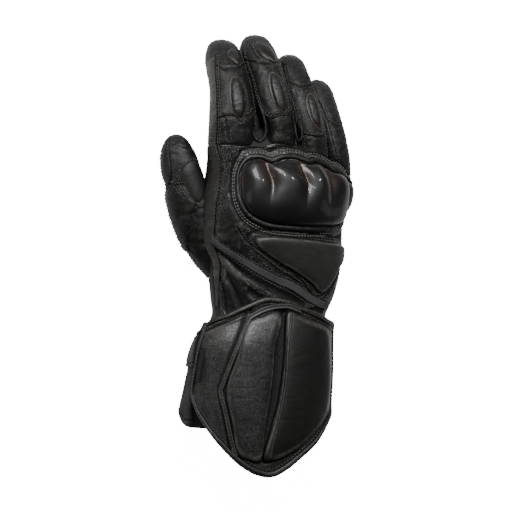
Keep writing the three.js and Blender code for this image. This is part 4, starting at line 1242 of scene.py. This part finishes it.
to_end = np.minimum(length, 1 - length) * LABEL_LENGTH + 0 * across
lift = 1.3 + rolled(np.minimum(across, 1 - across) * LABEL_WIDTH, 0.5) + rolled(to_end, 0.6)
for place in (length, 1 - length):
    lift = lift + groove(LABEL_LENGTH * place - 1.8, 0.3, 0.4)
tab = laid_on(on_cuff, around, along + 0 * across, lift)
make_piece("label_tab_cloth", *tab, tab_weave, "webbing", ["label_tab"], 0 * lift)

# Welts and laid-on strips
# Thin cords of leather stand up where panels meet: along the cross seams of the fingers, round the openings
# between the fingers, and along the channel between the cuff's pads. The index finger has a side strip in
# browner leather, and the cuff a flat trim beside its inner pad.


def cord(path, side, up, size, corners):
    """Points and faces of a round cord along a path, from its two cross directions and its radii."""
    turn = np.linspace(0, 2 * np.pi, corners, endpoint=False)
    ring = side[:, None] * np.cos(turn)[None, :, None] + up[:, None] * np.sin(turn)[None, :, None]
    return (path[:, None] + ring * size[:, None, None]).reshape(-1, 3), tube_faces(len(path), corners)


def headings(path):
    """Direction of a path at each of its points."""
    ahead = np.gradient(path, axis=0)
    return ahead / np.linalg.norm(ahead, axis=1, keepdims=True)


def thin_ends(count, taper, least):
    """Share of the full radius at each point of a cord: "least" at both ends, and full after the taper."""
    to_end = np.minimum(np.arange(count), np.arange(count)[::-1])
    return np.minimum(1, to_end / taper + least)


def raised_path(surface, around, along, height):
    """Points over a surface at a height, and the direction away from it at each."""
    path = lifted(surface, around, along, height)
    return path, lifted(surface, around, along, height + 1) - path


def welt(surface, relief, line, radius, lift, degree=DIGIT_RATIO, count=160):
    """A cord of leather on a surface along a line, thinner at both ends."""
    around, along = scaled_curve(line, degree, count, closed=False)
    path, up = raised_path(surface, around, along, relief(around, along) + lift)
    size = radius * thin_ends(count, 7, 0.15) * (1 + 0.12 * noise(path, (4, 4, 4), 251))
    return cord(path, np.cross(up, headings(path)), up, size, 12)


def rope(path, radius, count=120):
    """A cord of leather through points in space, thinner at both ends."""
    path = curve_through(path, count, closed=False)
    ahead = headings(path)
    side = np.cross([0, 0, 1.0], ahead)
    side /= np.linalg.norm(side, axis=1, keepdims=True)
    size = radius * thin_ends(count, 9, 0.2) * (1 + 0.15 * noise(path, (4, 4, 4), 255))
    return cord(path, side, np.cross(ahead, side), size, 14)


def no_relief(around, along):
    """A bare surface."""
    return 0 * around


digit_welts = joined([
    welt(on_middle, middle_relief, [(166, 52), (160, 45), (150, 40), (130, 37.2), (92, 38), (63, 38),
                                    (40, 41)],
         0.85, 0.5),
    welt(on_index, index_relief, [(140, 38), (120, 39), (103, 39.5), (64, 39.5), (42, 43)], 0.7, 0.35),
    welt(on_index, index_relief, [(38, 42), (33, 34), (32, 27), (36, 20), (44, 17)], 0.9, 0.3),
    welt(on_middle, middle_relief, [(166, 44), (168, 34), (166, 26), (160, 19), (150, 16)], 0.9, 0.3),
    welt(on_middle, middle_relief, [(30, 40), (28, 32), (30, 22), (38, 16)], 0.8, 0.2),
    welt(on_ring, ring_relief, [(154, 44), (156, 36), (154, 26), (146, 18)], 0.8, 0.2),
    welt(on_thumb, thumb_relief, THUMB_PANEL, 0.6, 0.1),
    welt(on_ring, ring_relief, [(146, 36.6), (110, 34.8), (70, 33.8), (40, 36.6)], 0.7, 0.35),
])
web_rims = joined([
    rope([(-16.4, 114, 40), (-17.6, 106, 43), (-18.4, 98, 44.3), (-17.6, 91.5, 45), (-14.2, 87.5, 45.6),
          (-10.2, 90.5, 46.2), (-8.8, 97.5, 46.2), (-10.0, 105.5, 45.6), (-12.0, 112.5, 44),
          (-13.4, 118, 41)], 1.25),
    rope([(15.0, 108, 42), (15.4, 100, 45), (16.0, 93, 46), (18.0, 88, 46), (21.0, 90.5, 44.5),
          (21.4, 97, 44), (20.6, 104, 42)], 1.0),
])
make_piece("finger_welts", *joined([digit_welts, web_rims]), finger_leather, "leather")
INDEX_STRIP_EDGE = table([(6, 143), (14, 142.5), (35, 144), (51, 147), (64, 145), (80, 128)])
INDEX_STRIP_FAR = 203
INDEX_STRIP_ENDS = (6, 79)
down = np.linspace(*INDEX_STRIP_ENDS, 150)[:, None]
across = crowded(40)[None, :]
edge = smooth(INDEX_STRIP_EDGE, 1, down) + 2
around = edge + (INDEX_STRIP_FAR - edge) * across
along = down + 0 * across
to_side = np.minimum(across, 1 - across) * (INDEX_STRIP_FAR - edge) * DIGIT_DEGREE
height = 0.5 + rolled(to_side, 1.0) + rolled((INDEX_STRIP_ENDS[1] - along) * DIGIT_SHARE, 1.0)
height = height + wrinkles(on_index(around, along), (20, 6, 20), 0.35, 261)
strip = laid_on(on_index, around, along, height, sunk=0.8)
make_piece("index_side_strip", *strip, side_leather, "leather", relief=height - 0.4)
TRIM_PATH = [(74, -42.5), (86, -38.5), (98, -40.5), (109, -45.5), (111.6, -47.2), (113.2, -50.2),
             (117.6, -68.7), (124.5, -85), (131, -99.6), (132.3, -102), (131.6, -105), (127, -118.5),
             (122, -136.4), (117, -152)]
TRIM_HALF_WIDTH = 2.3
strip, lift = flat_strip(on_cuff, TRIM_PATH, TRIM_HALF_WIDTH, 1.7, dip=0.35)
make_piece("cuff_trim_strip", *strip, border_leather, "leather", relief=lift - 1.2)
channel_edge = [(around - 4.0, along) for around, along in CUFF_CHANNEL]
make_piece("cuff_welts", *welt(on_cuff, cuff_relief, channel_edge, 1.3, 2.9, 1.0, 300), smooth_leather,
           "smooth_leather")

# Stitching
# Waxed thread, in double rows round the guard, the back pad and the cuff. Every stitch is a short round
# piece that dips into the leather at both ends.
STITCH_PITCH = 2.6
STITCH_LENGTH = 1.95
THREAD_RADIUS = 0.34
THREAD_LIFT = 0.22
STRIP_TOP = 1.75  # height of the rows that run along the top of the cuff's binding and trim
STITCH_SINK = 0.25
STITCH_SIDES = 6
stitch_turn = np.linspace(0, 2 * np.pi, STITCH_SIDES, endpoint=False)
STITCH_RINGS = [(-0.5, 0.45), (-0.25, 1.0), (0.25, 1.0), (0.5, 0.45)]
stitch_shape = np.concatenate([
    np.stack([np.full(STITCH_SIDES, at), size * np.cos(stitch_turn), size * np.sin(stitch_turn)], 1)
    for at, size in STITCH_RINGS])
stitch_faces = tube_faces(len(STITCH_RINGS), STITCH_SIDES)


def stitch_row(surface, relief, around, along, closed=False, lift=THREAD_LIFT):
    """One row: the stitch's shape carried to evenly spaced places along a line, turned to run with it."""
    path, up = raised_path(surface, around, along, relief(around, along) + lift)
    if closed:
        path, up = np.concatenate([path, path[:1]]), np.concatenate([up, up[:1]])
    reach = np.concatenate([[0], np.cumsum(np.linalg.norm(np.diff(path, axis=0), axis=1))])
    count = max(int(reach[-1] / STITCH_PITCH), 2)
    middle = (np.arange(count) + 0.5) * reach[-1] / count

    def at(places, values):
        return np.stack([np.interp(places, reach, values[:, i]) for i in range(3)], 1)

    place, normal = at(middle, path), at(middle, up)
    ahead = at(middle + 0.5, path) - at(middle - 0.5, path)
    ahead /= np.linalg.norm(ahead, axis=1, keepdims=True) + 1e-9
    side = np.cross(normal, ahead)
    x, y, z = stitch_shape.T
    points = (place[:, None] + ahead[:, None] * (x * STITCH_LENGTH)[None, :, None]
              + side[:, None] * (y * THREAD_RADIUS)[None, :, None]
              + normal[:, None] * (z * THREAD_RADIUS - STITCH_SINK * (2 * x) ** 2)[None, :, None])
    starts = range(0, count * len(stitch_shape), len(stitch_shape))
    faces = [[corner + start for corner in face] for start in starts for face in stitch_faces]
    return points.reshape(-1, 3), faces


def ring_row(surface, relief, line, degree, out, lift=THREAD_LIFT):
    """A row of stitches at a distance outside a closed line."""
    return stitch_row(surface, relief, *scaled_curve(line, degree, 700, out), closed=True, lift=lift)


def line_row(surface, relief, line, degree=1.0, out=0.0, lift=THREAD_LIFT):
    """A row of stitches at a distance beside an open line."""
    return stitch_row(surface, relief, *scaled_curve(line, degree, 400, out, closed=False), lift=lift)


def thread_finish(name, dark, pale):
    """Waxed thread whose fibres are mixed by noise between a dark colour and a pale one, the pale one a
    painted highlight for the glints of black thread.
    """
    material, tree, shader = new_material(name)
    place = add_node(tree, "ShaderNodeTexCoord").outputs["Object"]
    noise_node = add_node(tree, "ShaderNodeTexNoise", {"Vector": place, "Scale": 1500.0, "Detail": 3.0})
    fibre = noise_node.outputs["Fac"]
    tree.links.new(colour_mix(tree, fibre, dark, pale), shader.inputs["Base Color"])
    tree.links.new(remap(tree, fibre, 0.3, 0.7, 0.3, 0.5), shader.inputs["Roughness"])
    return material


# Painted highlight: both threads are paler than black thread to stand for its glints, the rows round the
# guard paler still.
thread = thread_finish("waxed_thread", (0.02, 0.02, 0.019), (0.085, 0.082, 0.076))
guard_thread = thread_finish("guard_thread", (0.06, 0.06, 0.056), (0.24, 0.235, 0.22))
WEB_ROW = [(14, 65.5), (22, 68.4), (53, 73.6), (76, 77.6), (86.6, 81.8), (92.6, 83.4), (103, 82.2),
           (128, 82.2), (148, 82.2)]
SIDE_ROW = [(158.5, -26), (155.5, -12), (152.5, 3), (150.5, 15), (148, 40), (150, 68), (152.5, 80)]
guard_rows = [ring_row(on_hand, back_relief, GUARD_OUTLINE, 1.0, out) for out in GUARD_ROWS]
make_piece("guard_stitches", *joined(guard_rows), guard_thread, "leather")
hand_rows = [
    *(ring_row(on_hand, back_relief, BACK_PAD, 1.0, out) for out in PAD_ROWS),
    line_row(on_hand, back_relief, STRIPE_UPPER, out=-1.7),
    line_row(on_hand, back_relief, STRIPE_UPPER, out=6.2),
    line_row(on_hand, back_relief, WEB_ROW), line_row(on_hand, back_relief, SIDE_ROW, out=1.2),
    line_row(on_hand, side_relief, SIDE_ROW, out=-4.6),
]
for line in BACK_SEAMS:
    hand_rows += [line_row(on_hand, back_relief, line, out=side * 1.6) for side in (-1, 1)]
make_piece("hand_stitches", *joined(hand_rows), thread, "leather")

digit_rows = []
for surface, relief, seams in (
        (on_index, index_relief, INDEX_SEAMS), (on_middle, middle_relief, MIDDLE_SEAMS),
        (on_ring, ring_relief, RING_SEAMS), (on_little, little_relief, LITTLE_SEAMS),
        (on_thumb, thumb_relief, THUMB_SEAMS)):
    digit_rows += [line_row(surface, relief, seam, DIGIT_RATIO, 1.4) for seam in seams]
digit_rows += [
    line_row(on_index, index_relief, INDEX_SEAMS[4], DIGIT_RATIO, -1.4),
    line_row(on_index, index_relief, INDEX_SEAMS[0], DIGIT_RATIO, 3.0),
    line_row(on_ring, ring_relief, RING_SEAMS[0], DIGIT_RATIO, -1.4),
    line_row(on_middle, middle_relief, MIDDLE_SEAMS[0], DIGIT_RATIO, 2.9),
]
THUMB_PATCH_ROW = [(110, 69), (98, 62), (84, 55), (70, 50), (56, 46)]
digit_rows += [line_row(on_thumb, thumb_relief, THUMB_PATCH_ROW, DIGIT_RATIO, out)
               for out in (-1.6, 0, 1.6)]
for surface, relief, pad in (
        (on_index, index_relief, 0), (on_middle, middle_relief, 2), (on_middle, middle_relief, 3),
        (on_ring, ring_relief, 4), (on_thumb, thumb_relief, 5)):
    digit_rows.append(ring_row(surface, relief, DIGIT_PADS[pad][2], DIGIT_RATIO, 1.3))
make_piece("finger_stitches", *joined(digit_rows), thread, "leather")

cuff_rows = [
    ring_row(on_cuff, cuff_relief, PERIMETER, 1.0, -6.2),
    ring_row(on_cuff, no_relief, PERIMETER, 1.0, -3.9, lift=STRIP_TOP),
    line_row(on_cuff, no_relief, TRIM_PATH, out=TRIM_HALF_WIDTH / 2, lift=STRIP_TOP),
    line_row(on_cuff, no_relief, TRIM_PATH, out=-TRIM_HALF_WIDTH / 2, lift=STRIP_TOP),
    line_row(on_flap, flap_relief, [(178, -127.5), (185, -126), (194, -120.5), (203, -117), (250, -117)]),
    line_row(on_flap, flap_relief, [(178, -124), (185, -122.5), (194, -117), (203, -113.5), (250, -113.5)]),
    line_row(on_cuff, cuff_relief, PAD_OUTER[1:-3], out=-1.3),
]
make_piece("cuff_stitches", *joined(cuff_rows), thread, "leather")
